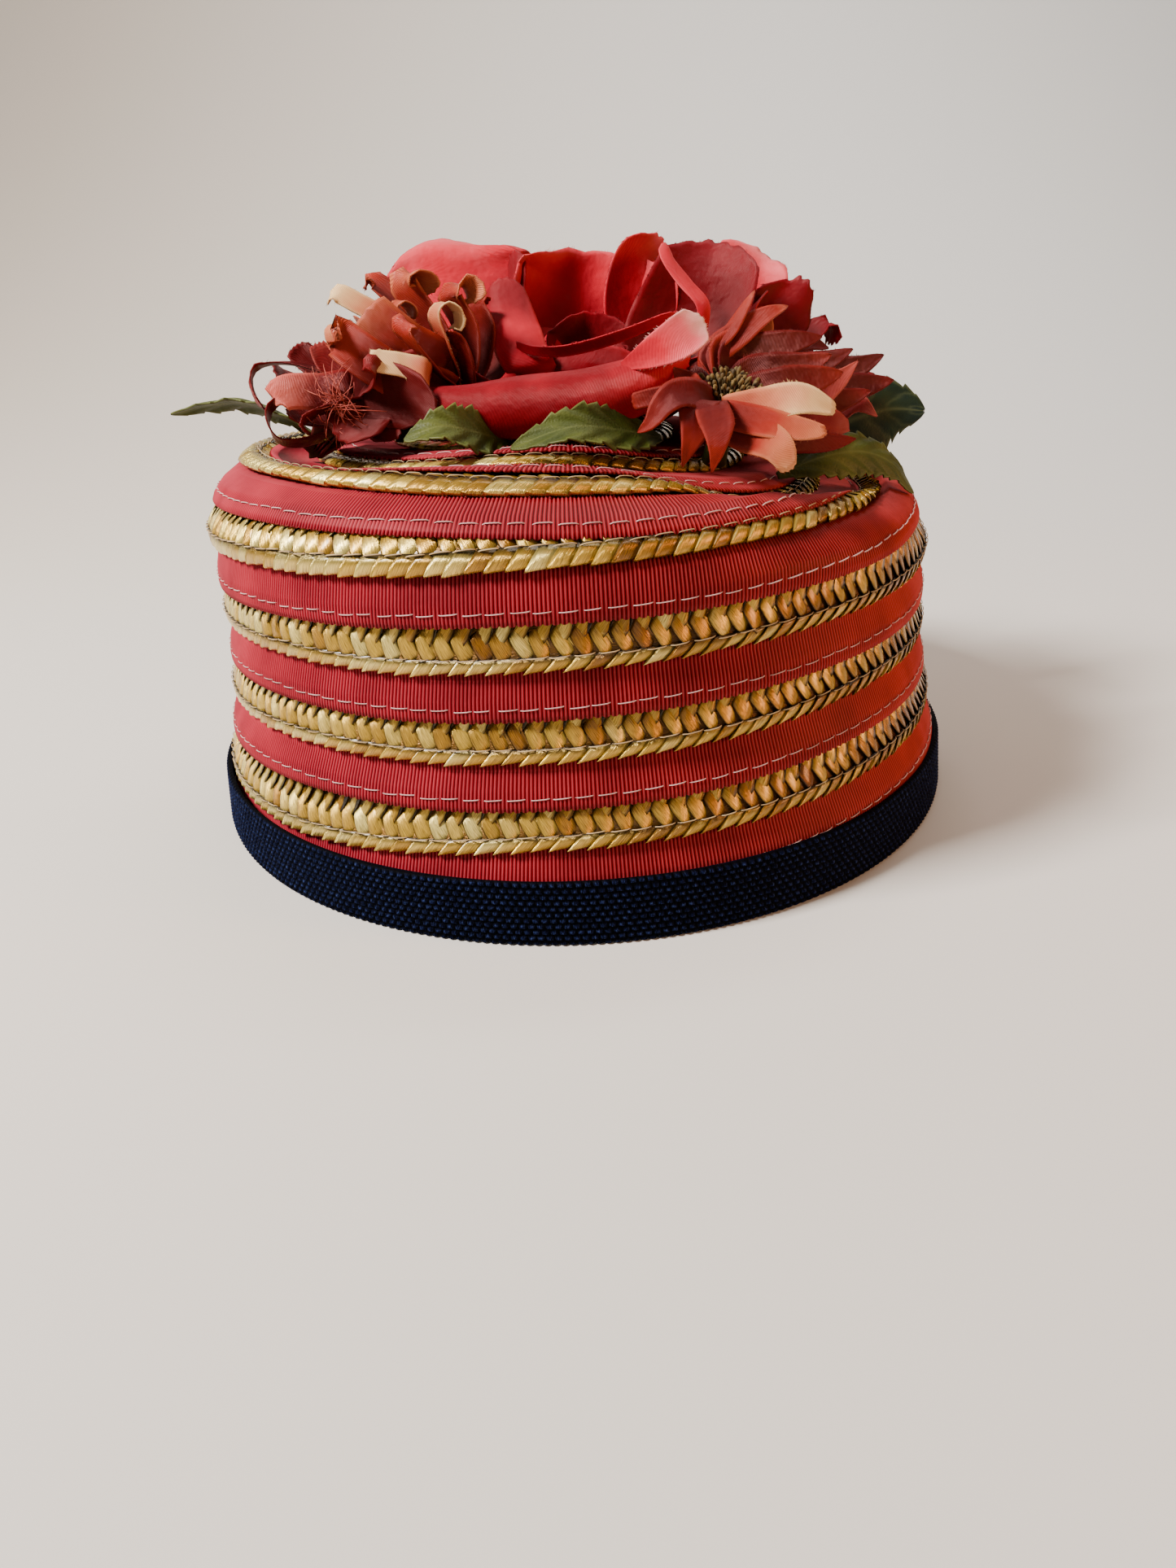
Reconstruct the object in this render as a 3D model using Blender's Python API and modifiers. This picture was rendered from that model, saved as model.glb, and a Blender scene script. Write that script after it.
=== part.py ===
"""A small pillbox hat wound from a red grosgrain ribbon and a gold straw braid, with a silk posy on top.

The ribbon and the braid are sewn as one spiral: it starts inside the navy head band, climbs the side and
winds in over the top. Each strip's lower edge lies on the strip below it, like shingles.
Sizes are in millimetres up here and become metres where a mesh is made. +Z is up, -Y is the front.
"""

import math

import bmesh
import bpy
import numpy as np
from mathutils import Matrix, Vector
from mathutils.bvhtree import BVHTree

MM = 0.001

# Driving sizes, in millimetres
HAT_WIDTH = 180.0
HAT_LENGTH = 191.0
CROWN_HEIGHT = 80.0
GAP = 0.3

BAND_HEIGHT = 13.0
BAND_INSIDE_HEIGHT = 12.0
BAND_THICKNESS = 1.2

RIBBON_SHOWN = 9.6
RIBBON_THICKNESS = 1.0
BRAID_SHOWN = 7.6
BRAID_THICKNESS = 1.6
SEAM_OVERLAP = 2.6
NARROWEST_STRIP = 3.64

# A flower's size is the length of its long petals
ROSE_SIZE = 50.0
CARNATION_SIZE = 31.0
PINK_SIZE = 26.0
DAISY_SIZE = 23.0
ASTER_SIZE = 30.0
LEAF_SIZE = 34.0
PETAL_THICKNESS = 1.0
LEAF_THICKNESS = 1.0
CALYX_RADIUS = 6.0
ROOT_DEPTH = 2.5
DAISY_EYE_RADIUS = 5.5
DAISY_EYE_HEIGHT = 3.0

# Where the two strips start and how finely they are cut, in degrees of winding from the right-hand side
RIBBON_STARTS = 150
BRAID_STARTS = -60
TOP_STARTS = 2520
LONGEST_WINDING = 6000
SIDE_STEP = 15
TOP_STEP = 20
MERIDIAN_POINTS = 120
EDGE_POINTS = 5
PATH_POINTS = 61
CALYX_SIDES = 8
LEAF_FACES = (4, 4)
SHARP_EDGE = 40

# What follows from the driving sizes
PLAN_RATIO = HAT_LENGTH / HAT_WIDTH
PITCH = RIBBON_SHOWN + BRAID_SHOWN
STRIP_STACK = RIBBON_THICKNESS + GAP + BRAID_THICKNESS
BAND_RADIUS = HAT_WIDTH / 2
WALL_RADIUS = BAND_RADIUS - BAND_THICKNESS - GAP - STRIP_STACK
WALL_DEPTH = WALL_RADIUS * PLAN_RATIO
FIRST_BRAID_HEIGHT = BAND_HEIGHT + GAP
ABOVE_CROWN = CROWN_HEIGHT * 2

# The side of the crown: height as a share of CROWN_HEIGHT, radius as a share of WALL_RADIUS
WALL = np.array([
    # height, radius
    (0.00, 1.000),
    (0.16, 0.988),
    (0.28, 0.966),
    (0.40, 0.947),
    (0.52, 0.936),
    (0.64, 0.932),
    (0.76, 0.934),
    (0.90, 0.940),
    (1.10, 0.940),
])

# The edge of the top, every 45 degrees from the right-hand side by way of the back.
# All four columns are shares of CROWN_HEIGHT.
RIM = np.array([
    # top, shoulder run, shoulder drop, lip depth
    (0.850, 0.070, 0.170, 0.110),
    (0.870, 0.070, 0.160, 0.100),
    (0.920, 0.070, 0.150, 0.080),
    (0.970, 0.090, 0.150, 0.070),
    (1.000, 0.105, 0.160, 0.070),
    (1.005, 0.115, 0.150, 0.050),
    (0.995, 0.175, 0.140, 0.005),
    (0.880, 0.080, 0.100, 0.090),
])
TOP_CENTRE = 1.03
LIP_WIDTH = 0.11
SHOULDER_POWER = 1.4

RED_SILK = (0.50, 0.03, 0.04, 1.0)
CORAL_SILK = (0.55, 0.09, 0.06, 1.0)
DARK_SILK = (0.28, 0.01, 0.02, 1.0)
LEAF_GREEN = (0.10, 0.16, 0.03, 1.0)
RIBBON_RED = (0.46, 0.02, 0.05, 1.0)
STRAW_GOLD = (0.60, 0.38, 0.10, 1.0)
NAVY = (0.006, 0.009, 0.035, 1.0)
CENTRE_OLIVE = (0.09, 0.06, 0.01, 1.0)


def clear_scene():
    """Remove every object the file starts with."""
    for obj in list(bpy.data.objects):
        bpy.data.objects.remove(obj)


def material(name, colour, roughness):
    """A Principled BSDF of one colour."""
    mat = bpy.data.materials.new(name)
    mat.use_nodes = True
    shader = mat.node_tree.nodes["Principled BSDF"]
    shader.inputs["Base Color"].default_value = colour
    shader.inputs["Roughness"].default_value = roughness
    return mat


def add_object(name, mesh, mat, collection):
    """Put a mesh into the hat's collection, smooth apart from its edges over 40 degrees."""
    mesh.materials.append(mat)
    mesh.shade_smooth()
    mesh.set_sharp_from_angle(angle=math.radians(SHARP_EDGE))
    obj = bpy.data.objects.new(name, mesh)
    collection.objects.link(obj)
    return obj


def move_to(obj, collection):
    """Take a new primitive out of the collection it was made in and put it into the hat's."""
    for holder in list(obj.users_collection):
        holder.objects.unlink(obj)
    collection.objects.link(obj)


def smooth(share):
    """Ease from 0 to 1 with flat ends."""
    share = np.clip(share, 0.0, 1.0)
    return share * share * (3 - 2 * share)


# The crown's surface

def rim_at(angle):
    """The row of RIM at an angle in degrees, by a smooth curve through the rows that closes on itself."""
    place = (angle % 360) / 360 * len(RIM)
    row = int(place)
    t = place - row
    before, start, end, after = (RIM[(row + k) % len(RIM)] for k in (-1, 0, 1, 2))
    slope_in = (end - before) / 2
    slope_out = (after - start) / 2
    blend = (
        (2 * t**3 - 3 * t**2 + 1) * start
        + (t**3 - 2 * t**2 + t) * slope_in
        + (-2 * t**3 + 3 * t**2) * end
        + (t**3 - t**2) * slope_out
    )
    return blend * CROWN_HEIGHT


def wall_radius(height):
    """Radius of the crown's inner surface at a height on the side."""
    return np.interp(height / CROWN_HEIGHT, WALL[:, 0], WALL[:, 1]) * WALL_RADIUS


def stretch(angle):
    """How much longer a step outwards is at this angle than across the width, on the oval plan."""
    return math.hypot(math.cos(math.radians(angle)), PLAN_RATIO * math.sin(math.radians(angle)))


def meridian(angle):
    """The crown's inner surface at one angle, from the bottom edge to the centre: radii, heights, lengths."""
    top, run, drop, lip = rim_at(angle)
    count = MERIDIAN_POINTS
    wall_z = np.linspace(0, top - drop, count)
    wall_r = wall_radius(wall_z)
    turn = np.linspace(0, math.pi / 2, count)[1:]
    corner_r = wall_r[-1] - run + run * np.cos(turn) ** (2 / SHOULDER_POWER)
    corner_z = wall_z[-1] + drop * np.sin(turn) ** (2 / SHOULDER_POWER)
    edge_r = wall_r[-1] - run
    top_r = np.linspace(edge_r, 0, count)[1:]
    lip_width = LIP_WIDTH * CROWN_HEIGHT
    dish = lip * smooth((edge_r - top_r) / lip_width)
    share = top_r / edge_r
    floor = top - lip
    centre = TOP_CENTRE * CROWN_HEIGHT
    top_z = centre + (floor - centre) * share**2 + lip * share**2 - dish * share**2
    radii = np.concatenate([wall_r, corner_r, top_r])
    heights = np.concatenate([wall_z, corner_z, top_z])
    steps = np.hypot(np.diff(radii) * stretch(angle), np.diff(heights))
    return radii, heights, np.concatenate([[0.0], np.cumsum(steps)])


def place_on_crown(angle, length, offset, line):
    """A point at a length up the meridian at this angle, lifted by offset square to the surface.

    The slope is taken over a stretch as long as the strips are deep, so that they don't pinch in the dip.
    """
    radii, heights, lengths = line
    reach = STRIP_STACK
    r = np.interp(length, lengths, radii)
    z = np.interp(length, lengths, heights)
    ahead = min(length + reach, lengths[-1])
    behind = max(length - reach, 0.0)
    dr = np.interp(ahead, lengths, radii) - np.interp(behind, lengths, radii)
    dz = np.interp(ahead, lengths, heights) - np.interp(behind, lengths, heights)
    size = math.hypot(dr, dz)
    r += offset * dz / size
    z -= offset * dr / size
    turn = math.radians(angle)
    return Vector((r * math.cos(turn), r * PLAN_RATIO * math.sin(turn), z)) * MM


def windings(start):
    """Winding angles from start on: fine steps up the side, wider ones on the top."""
    side = np.arange(start, TOP_STARTS, SIDE_STEP)
    top = np.arange(TOP_STARTS, LONGEST_WINDING, TOP_STEP)
    return np.concatenate([side, top])


def coil(name, shown, thickness, thickness_below, first_length, start, mat, collection):
    """One strip of the spiral: a flat section carried up the side and in over the top.

    first_length is how far up the meridian the strip's lower edge lies on the left, at a winding of 180.
    The strip narrows as it nears the middle of the top and ends where little more than its seam is left.
    The quads are split the same way above and below, so that strips lying on each other keep their gap.
    """
    width = shown + SEAM_OVERLAP
    raised = thickness_below + GAP
    inner_offsets = (raised, raised, 0.0, 0.0)
    mesh = bpy.data.meshes.new(name)
    bm = bmesh.new()
    last = None
    for angle in windings(start):
        line = meridian(angle)
        low = first_length + PITCH * (angle - 180) / 360
        room = line[2][-1] - 2 * GAP - low
        if room < NARROWEST_STRIP:
            break
        left_over = min(1.0, (room - SEAM_OVERLAP) / (width - SEAM_OVERLAP))
        across = (
            0.0,
            SEAM_OVERLAP,
            SEAM_OVERLAP + (width - 2 * SEAM_OVERLAP) * left_over,
            SEAM_OVERLAP + (width - SEAM_OVERLAP) * left_over,
        )
        inside = [place_on_crown(angle, low + a, o, line) for a, o in zip(across, inner_offsets)]
        outside = [place_on_crown(angle, low + a, o + thickness, line) for a, o in zip(across, inner_offsets)]
        ring = [bm.verts.new(p) for p in outside + inside[::-1]]
        if last is None:
            bm.faces.new(ring)
        else:
            for i in range(len(ring)):
                j = (i + 1) % len(ring)
                if i < len(outside):
                    bm.faces.new((last[i], last[j], ring[j]))
                    bm.faces.new((last[i], ring[j], ring[i]))
                else:
                    bm.faces.new((last[i], last[j], ring[i]))
                    bm.faces.new((last[j], ring[j], ring[i]))
        last = ring
    bm.faces.new(last[::-1])
    bmesh.ops.recalc_face_normals(bm, faces=bm.faces)
    bm.to_mesh(mesh)
    bm.free()
    return add_object(name, mesh, mat, collection)


def head_band(mat, collection):
    """The navy ribbon folded round the bottom edge: a U-shaped profile turned about the axis."""
    leg_outside = BAND_RADIUS - BAND_THICKNESS
    inside_top = wall_radius(BAND_INSIDE_HEIGHT) - GAP
    inside_foot = wall_radius(BAND_THICKNESS) - GAP
    profile = (
        (BAND_RADIUS, BAND_HEIGHT),
        (BAND_RADIUS, 0.0),
        (inside_foot - BAND_THICKNESS, 0.0),
        (inside_top - BAND_THICKNESS, BAND_INSIDE_HEIGHT),
        (inside_top, BAND_INSIDE_HEIGHT),
        (inside_foot, BAND_THICKNESS),
        (leg_outside, BAND_THICKNESS),
        (leg_outside, BAND_HEIGHT),
    )
    mesh = bpy.data.meshes.new("head_band")
    count = len(profile)
    edges = [(i, (i + 1) % count) for i in range(count)]
    mesh.from_pydata([(r * MM, 0, z * MM) for r, z in profile], edges, [])
    obj = add_object("head_band", mesh, mat, collection)
    turned = obj.modifiers.new("turned", "SCREW")
    turned.steps = round(360 / SIDE_STEP)
    turned.render_steps = turned.steps
    turned.use_merge_vertices = True
    turned.merge_threshold = 0.0001
    obj.scale.y = PLAN_RATIO
    return obj


# The posy

def skin_of(objects):
    """Points along the edges of some objects, in world space, and a tree of their faces to cast rays at."""
    bpy.context.view_layer.update()
    depsgraph = bpy.context.evaluated_depsgraph_get()
    corners, faces, points = [], [], []
    for obj in objects:
        mesh = obj.evaluated_get(depsgraph).to_mesh()
        start = len(corners)
        corners += [obj.matrix_world @ vert.co for vert in mesh.vertices]
        faces += [[start + i for i in face.vertices] for face in mesh.polygons]
        for edge in mesh.edges:
            first, second = (corners[start + i] for i in edge.vertices)
            points += [first.lerp(second, share / EDGE_POINTS) for share in range(EDGE_POINTS + 1)]
    return points, BVHTree.FromPolygons(corners, faces)


def settle(piece, *carriers):
    """Lower a piece until it is GAP clear of what carries it, as if it were laid there and sewn down."""
    points, tree = skin_of([piece])
    under_points, under_tree = skin_of(carriers)
    down = Vector((0, 0, -1))
    falls = [under_tree.ray_cast(point, down)[3] for point in points]
    falls += [tree.ray_cast(point, -down)[3] for point in under_points]
    piece.location.z -= min(fall for fall in falls if fall is not None) - GAP * MM


def petal_path(shape):
    """The petal's middle line in its own upright plane: it rises, bends, and curls at the end."""
    share = np.linspace(0, 1, PATH_POINTS)
    curled = smooth((share - CURL_STARTS) / (1 - CURL_STARTS))
    angle = np.radians(shape["rise"] - shape["bend"] * share - shape["curl"] * curled)
    step = shape["length"] / (PATH_POINTS - 1)
    out = shape["out"] + np.cumsum(np.cos(angle)) * step
    up = np.cumsum(np.sin(angle)) * step
    return share, angle, out, up


def petal_point(t, side, shape, path):
    """The point a share t along the petal and side (-1 to 1) across it. Across, the petal is an arc."""
    share, angles, outs, ups = path
    angle = np.interp(t, share, angles)
    widest, neck, tip = shape["widest"], shape["neck"], shape["tip"]
    if t < widest:
        half = neck + (1 - neck) * math.sin(math.pi / 2 * t / widest)
    else:
        past = (t - widest) / (1 - widest)
        half = math.sqrt(1 - past * past * (1 - tip * tip))
    half *= shape["width"] / 2
    arc = math.radians(shape["cup"]) / 2
    if abs(arc) < 0.001:
        sideways, raised = half * side, 0.0
    else:
        sideways = math.sin(arc * side) / arc * half
        raised = (1 - math.cos(arc * side)) / arc * half
    tangent = Vector((math.cos(angle), 0, math.sin(angle)))
    normal = Vector((-math.sin(angle), 0, math.cos(angle)))
    across = Vector((0, sideways, 0)) + normal * raised
    middle = Vector((np.interp(t, share, outs), 0, np.interp(t, share, ups)))
    return middle + Matrix.Rotation(math.radians(shape["twist"]) * t, 3, tangent) @ across


def petal_mesh(name, shape, along, across):
    """A grid bent into a petal, in metres, turned to its heading about the flower's own axis."""
    bm = bmesh.new()
    bmesh.ops.create_grid(bm, x_segments=along, y_segments=across, size=1)
    path = petal_path(shape)
    turn = Matrix.Rotation(math.radians(shape["heading"]), 3, "Z")
    for vert in bm.verts:
        vert.co = turn @ petal_point((vert.co.x + 1) / 2, vert.co.y, shape, path) * MM
    mesh = bpy.data.meshes.new(name)
    bm.to_mesh(mesh)
    bm.free()
    return mesh


def cloth_wall(obj, thickness):
    """Give an open sheet its thickness, half to each side."""
    wall = obj.modifiers.new("cloth", "SOLIDIFY")
    wall.thickness = thickness * MM
    wall.offset = 0


def flower(name, mat, collection, helpers):
    """A flower fused from its petals and the stub of stem that they are gathered on.

    Petal lengths, widths and lifts are shares of the flower's size.
    """
    spot = dict(zip(FLOWER_COLUMNS, FLOWERS[name]))
    size = spot["size"]
    stem = spot["stem"] * size
    top = Vector((spot["x"] * WALL_RADIUS, spot["y"] * WALL_DEPTH, ABOVE_CROWN + stem))
    bpy.ops.mesh.primitive_cylinder_add(
        vertices=CALYX_SIDES, radius=CALYX_RADIUS * MM, depth=stem * MM,
        location=(top - Vector((0, 0, stem / 2))) * MM,
    )
    calyx = bpy.context.object
    calyx.name = name
    calyx.data.materials.append(mat)
    move_to(calyx, collection)
    roots = Matrix.Translation((top - Vector((0, 0, ROOT_DEPTH))) * MM) @ lean_of(spot)
    for number, row in enumerate(PETALS[name], 1):
        shape = dict(zip(PETAL_COLUMNS, row)) | FORMS[name]
        shape["length"] *= size
        shape["width"] *= size
        shape["out"] = CALYX_RADIUS / 2
        mesh = petal_mesh(f"{name}_petal_{number}", shape, spot["along"], spot["across"])
        petal = bpy.data.objects.new(f"{name}_petal_{number}", mesh)
        helpers.objects.link(petal)
        petal.matrix_world = roots @ Matrix.Translation((0, 0, shape["lift"] * size * MM))
        petal.hide_render = True
        petal.display_type = "WIRE"
        cloth_wall(petal, PETAL_THICKNESS)
        joined = calyx.modifiers.new(f"petal {number}", "BOOLEAN")
        joined.operation = "UNION"
        joined.use_self = True
        joined.object = petal
    return fused(calyx)


def lean_of(spot):
    """The turn about a level axis that leans a flower towards its heading."""
    turn = math.radians(spot["towards"])
    return Matrix.Rotation(math.radians(spot["lean"]), 4, Vector((-math.sin(turn), math.cos(turn), 0)))


def fused(obj):
    """Apply the unions, and keep the outer skin alone, which fills the pockets shut in between petals."""
    evaluated = obj.evaluated_get(bpy.context.evaluated_depsgraph_get())
    obj.data = bpy.data.meshes.new_from_object(evaluated)
    obj.modifiers.clear()
    bm = bmesh.new()
    bm.from_mesh(obj.data)
    skins = []
    unseen = set(bm.verts)
    while unseen:
        skin = {unseen.pop()}
        edge_of_skin = list(skin)
        while edge_of_skin:
            for edge in edge_of_skin.pop().link_edges:
                fresh = set(edge.verts) & unseen
                unseen -= fresh
                skin |= fresh
                edge_of_skin += fresh
        skins.append(skin)
    skins.sort(key=len)
    bmesh.ops.delete(bm, geom=[vert for skin in skins[:-1] for vert in skin], context="VERTS")
    bm.to_mesh(obj.data)
    bm.free()
    return obj


def daisy_eye(mat, collection):
    """The flattened ball of stamens in the middle of the daisy, leaning as its petals do."""
    spot = dict(zip(FLOWER_COLUMNS, FLOWERS["daisy"]))
    bpy.ops.mesh.primitive_uv_sphere_add(segments=12, ring_count=6, radius=DAISY_EYE_RADIUS * MM)
    eye = bpy.context.object
    eye.name = "daisy_eye"
    eye.data.materials.append(mat)
    eye.data.shade_smooth()
    move_to(eye, collection)
    squash = Matrix.Diagonal((1, 1, DAISY_EYE_HEIGHT / 2 / DAISY_EYE_RADIUS, 1))
    above = Vector((spot["x"] * WALL_RADIUS, spot["y"] * WALL_DEPTH, ABOVE_CROWN))
    leaned = lean_of(spot)
    forward = leaned.to_3x3() @ Vector((0, 0, spot["stem"] * spot["size"]))
    above += Vector((forward.x, forward.y, 0)) / 2
    eye.matrix_world = Matrix.Translation(above * MM) @ leaned @ squash
    return eye


CURL_STARTS = 0.6
PETAL_COLUMNS = ("heading", "rise", "length", "width", "bend", "curl", "cup", "twist", "lift")
FLOWER_COLUMNS = ("x", "y", "size", "stem", "lean", "towards", "along", "across")

FLOWERS = {
    # x and y of the foot as shares of the wall radius and depth, size, stem as a share of size, lean, towards,
    # and how many faces its petals have along and across
    "rose": (0.04, -0.047, ROSE_SIZE, 0.11, 0, 0, 5, 4),
    "carnation": (-0.402, -0.254, CARNATION_SIZE, 0.30, 2, 240, 5, 2),
    "pink": (-0.635, -0.221, PINK_SIZE, 0.14, 14, 205, 5, 2),
    "daisy": (0.36, -0.528, DAISY_SIZE, 0.58, 30, 285, 3, 2),
    "aster": (0.59, -0.160, ASTER_SIZE, 0.45, 10, 345, 3, 2),
}

FORMS = {
    "rose": {"widest": 0.66, "neck": 0.25, "tip": 0.66},
    "carnation": {"widest": 0.75, "neck": 0.45, "tip": 0.8},
    "pink": {"widest": 0.75, "neck": 0.45, "tip": 0.8},
    "daisy": {"widest": 0.60, "neck": 0.50, "tip": 0.35},
    "aster": {"widest": 0.55, "neck": 0.50, "tip": 0.15},
}

PETALS = {
    # heading, rise, length, width, bend, curl, cup, twist, lift
    "rose": (
        (138, 10, 1.06, 1.15, -72, 10, 45, 0, 0.000),
        (205, 15, 0.52, 0.85, -62, 40, 60, 0, 0.012),
        (259, 2, 1.02, 1.08, -50, 165, 40, 6, 0.004),
        (330, 8, 0.90, 0.85, -58, 80, 50, 0, 0.018),
        (14, 14, 1.02, 1.05, -58, 50, 50, 0, 0.008),
        (68, 18, 0.88, 1.05, -58, 30, 50, 0, 0.022),
        (252, 28, 0.62, 0.85, -50, 30, 80, 0, 0.030),
        (18, 40, 0.66, 0.80, -45, 30, 80, 0, 0.026),
        (136, 44, 0.64, 0.80, -40, 20, 80, 0, 0.034),
    ),
    "carnation": (
        (22, 84, 0.80, 0.34, -5, 220, 25, 0, 0.00),
        (66, 74, 0.85, 0.35, -10, 210, 25, 0, 0.01),
        (112, 68, 0.95, 0.33, -15, 215, 25, 0, 0.02),
        (157, 58, 1.00, 0.35, -20, 205, 25, 0, 0.00),
        (198, 52, 0.95, 0.34, -25, 210, 25, 0, 0.01),
        (236, 50, 1.02, 0.35, -20, 220, 25, 0, 0.02),
        (277, 58, 0.84, 0.34, -20, 200, 25, 0, 0.00),
        (318, 84, 0.74, 0.32, -5, 205, 25, 0, 0.01),
    ),
    "pink": (
        (12, 76, 0.70, 0.36, -5, 210, 25, 0, 0.00),
        (68, 62, 0.85, 0.38, -15, 200, 25, 0, 0.01),
        (121, 42, 0.95, 0.36, -25, 205, 25, 0, 0.02),
        (173, 32, 1.00, 0.38, -30, 200, 25, 0, 0.00),
        (222, 28, 1.00, 0.36, -30, 205, 25, 0, 0.01),
        (268, 30, 1.00, 0.38, -30, 200, 25, 0, 0.02),
        (317, 46, 0.85, 0.35, -20, 200, 25, 0, 0.01),
    ),
    "daisy": (
        (3, 14, 1.05, 0.36, 8, 20, 30, 0, 0.00),
        (50, 30, 0.62, 0.36, 0, 30, 30, 0, 0.02),
        (98, 40, 0.50, 0.38, 0, 25, 30, 0, 0.00),
        (196, 10, 0.60, 0.34, 0, 30, 30, 0, 0.02),
        (236, 14, 0.95, 0.36, 8, 20, 30, 0, 0.00),
        (269, 22, 1.08, 0.36, 10, 20, 30, 0, 0.02),
        (301, 14, 1.05, 0.36, 8, 20, 30, 0, 0.00),
        (334, 22, 1.10, 0.38, 8, 20, 30, 0, 0.02),
    ),
    "aster": (
        (6, 32, 1.00, 0.32, 0, 25, 30, 0, 0.00),
        (34, 18, 0.95, 0.32, 0, 25, 30, 0, 0.02),
        (64, 36, 0.85, 0.32, 0, 25, 30, 0, 0.00),
        (98, 48, 0.75, 0.32, 0, 25, 30, 0, 0.02),
        (140, 66, 0.62, 0.32, 0, 25, 30, 0, 0.00),
        (222, 66, 0.62, 0.32, 0, 25, 30, 0, 0.02),
        (262, 46, 0.75, 0.32, 0, 25, 30, 0, 0.00),
        (292, 30, 0.85, 0.32, 0, 25, 30, 0, 0.02),
        (318, 44, 0.98, 0.32, 0, 25, 30, 0, 0.00),
        (342, 16, 1.02, 0.32, 0, 25, 30, 0, 0.02),
    ),
}

LEAF_COLUMNS = ("x", "y", "heading", "rise", "length", "width", "bend", "fold")
LEAVES = (
    # x and y of the foot as shares of the wall radius and depth, heading, rise, length and width as shares
    # of LEAF_SIZE, bend, fold
    (-0.66, 0.075, 185, 24, 0.97, 0.30, 10, -40),
    (-0.25, -0.339, 252, 8, 0.76, 0.59, -16, -60),
    (-0.04, -0.377, 270, 4, 0.74, 0.59, -6, -50),
    (0.55, -0.415, 28, 12, 1.00, 0.53, 30, -40),
    (0.60, 0.123, 356, 26, 1.03, 0.71, 5, -20),
    (0.15, 0.377, 80, 8, 1.00, 0.71, 15, -40),
    (-0.30, 0.283, 120, 8, 1.00, 0.71, 15, -40),
)
LEAF_FORM = {"widest": 0.45, "neck": 0.12, "tip": 0.08}


def leaf(number, row, mat, collection):
    """A die-cut leaf folded a little along its midrib, with its foot on the crown."""
    shape = dict(zip(LEAF_COLUMNS, row)) | LEAF_FORM
    shape |= {"curl": 0, "cup": shape["fold"], "twist": 0, "out": 0}
    shape["length"] *= LEAF_SIZE
    shape["width"] *= LEAF_SIZE
    name = f"leaf_{number}"
    obj = add_object(name, petal_mesh(name, shape, *LEAF_FACES), mat, collection)
    obj.location = Vector((shape["x"] * WALL_RADIUS, shape["y"] * WALL_DEPTH, ABOVE_CROWN)) * MM
    cloth_wall(obj, LEAF_THICKNESS)
    return obj


def build():
    clear_scene()
    hat = bpy.data.collections.new("pillbox_hat")
    helpers = bpy.data.collections.new("petals")
    bpy.context.scene.collection.children.link(hat)
    bpy.context.scene.collection.children.link(helpers)
    ribbon_red = material("ribbon_red", RIBBON_RED, 0.5)
    straw_gold = material("straw_gold", STRAW_GOLD, 0.35)
    navy = material("navy", NAVY, 0.8)
    head_band(navy, hat)
    ribbon = coil("ribbon_coil", RIBBON_SHOWN, RIBBON_THICKNESS, BRAID_THICKNESS,
                  FIRST_BRAID_HEIGHT - RIBBON_SHOWN, RIBBON_STARTS, ribbon_red, hat)
    braid = coil("braid_coil", BRAID_SHOWN, BRAID_THICKNESS, RIBBON_THICKNESS,
                 FIRST_BRAID_HEIGHT, BRAID_STARTS, straw_gold, hat)
    red = material("red_silk", RED_SILK, 0.45)
    coral = material("coral_silk", CORAL_SILK, 0.5)
    dark = material("dark_silk", DARK_SILK, 0.5)
    green = material("leaf_green", LEAF_GREEN, 0.6)
    silks = {"rose": red, "carnation": coral, "pink": dark, "daisy": coral, "aster": dark}
    flowers = {name: flower(name, silk, hat, helpers) for name, silk in silks.items()}
    leaves = [leaf(number, row, green, hat) for number, row in enumerate(LEAVES, 1)]
    for piece in [*flowers.values(), *leaves]:
        settle(piece, ribbon, braid)
    settle(daisy_eye(material("eye_olive", CENTRE_OLIVE, 0.9), hat), flowers["daisy"])


build()
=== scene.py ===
# %% [markdown]
# A pillbox hat wound from ribbon and straw, with a silk posy on its tip
#
# The real hat is one long seam. A red grosgrain ribbon and a gold straw braid lie side by side, each lapping
# a few millimetres over the strip below, and wind together up the side and in over the top, as clay is coiled
# into a pot. A navy ribbon is folded over the bottom edge, and the posy is sewn on last.
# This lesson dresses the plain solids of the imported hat. It keeps their places and sizes, and gives each one
# the surface that the real piece shows. Lengths are in millimetres until a mesh is made of them.

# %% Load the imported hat
import math

import bpy
import numpy as np
from mathutils import Matrix, Vector


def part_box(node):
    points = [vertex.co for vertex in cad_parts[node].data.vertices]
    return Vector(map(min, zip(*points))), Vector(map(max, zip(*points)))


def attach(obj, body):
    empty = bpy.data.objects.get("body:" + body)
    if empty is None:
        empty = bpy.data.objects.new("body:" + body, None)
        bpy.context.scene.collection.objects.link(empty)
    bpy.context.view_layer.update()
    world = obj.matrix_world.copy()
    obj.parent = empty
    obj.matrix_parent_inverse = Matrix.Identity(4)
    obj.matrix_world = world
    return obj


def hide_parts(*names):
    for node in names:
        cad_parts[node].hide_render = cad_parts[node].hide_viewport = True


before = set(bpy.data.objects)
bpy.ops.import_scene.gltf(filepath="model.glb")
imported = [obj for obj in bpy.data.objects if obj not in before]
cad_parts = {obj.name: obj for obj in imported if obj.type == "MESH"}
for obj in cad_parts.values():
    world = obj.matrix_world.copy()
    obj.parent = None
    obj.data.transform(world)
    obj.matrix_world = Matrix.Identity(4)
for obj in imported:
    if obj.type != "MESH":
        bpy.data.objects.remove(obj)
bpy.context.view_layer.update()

MM = 0.001

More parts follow.
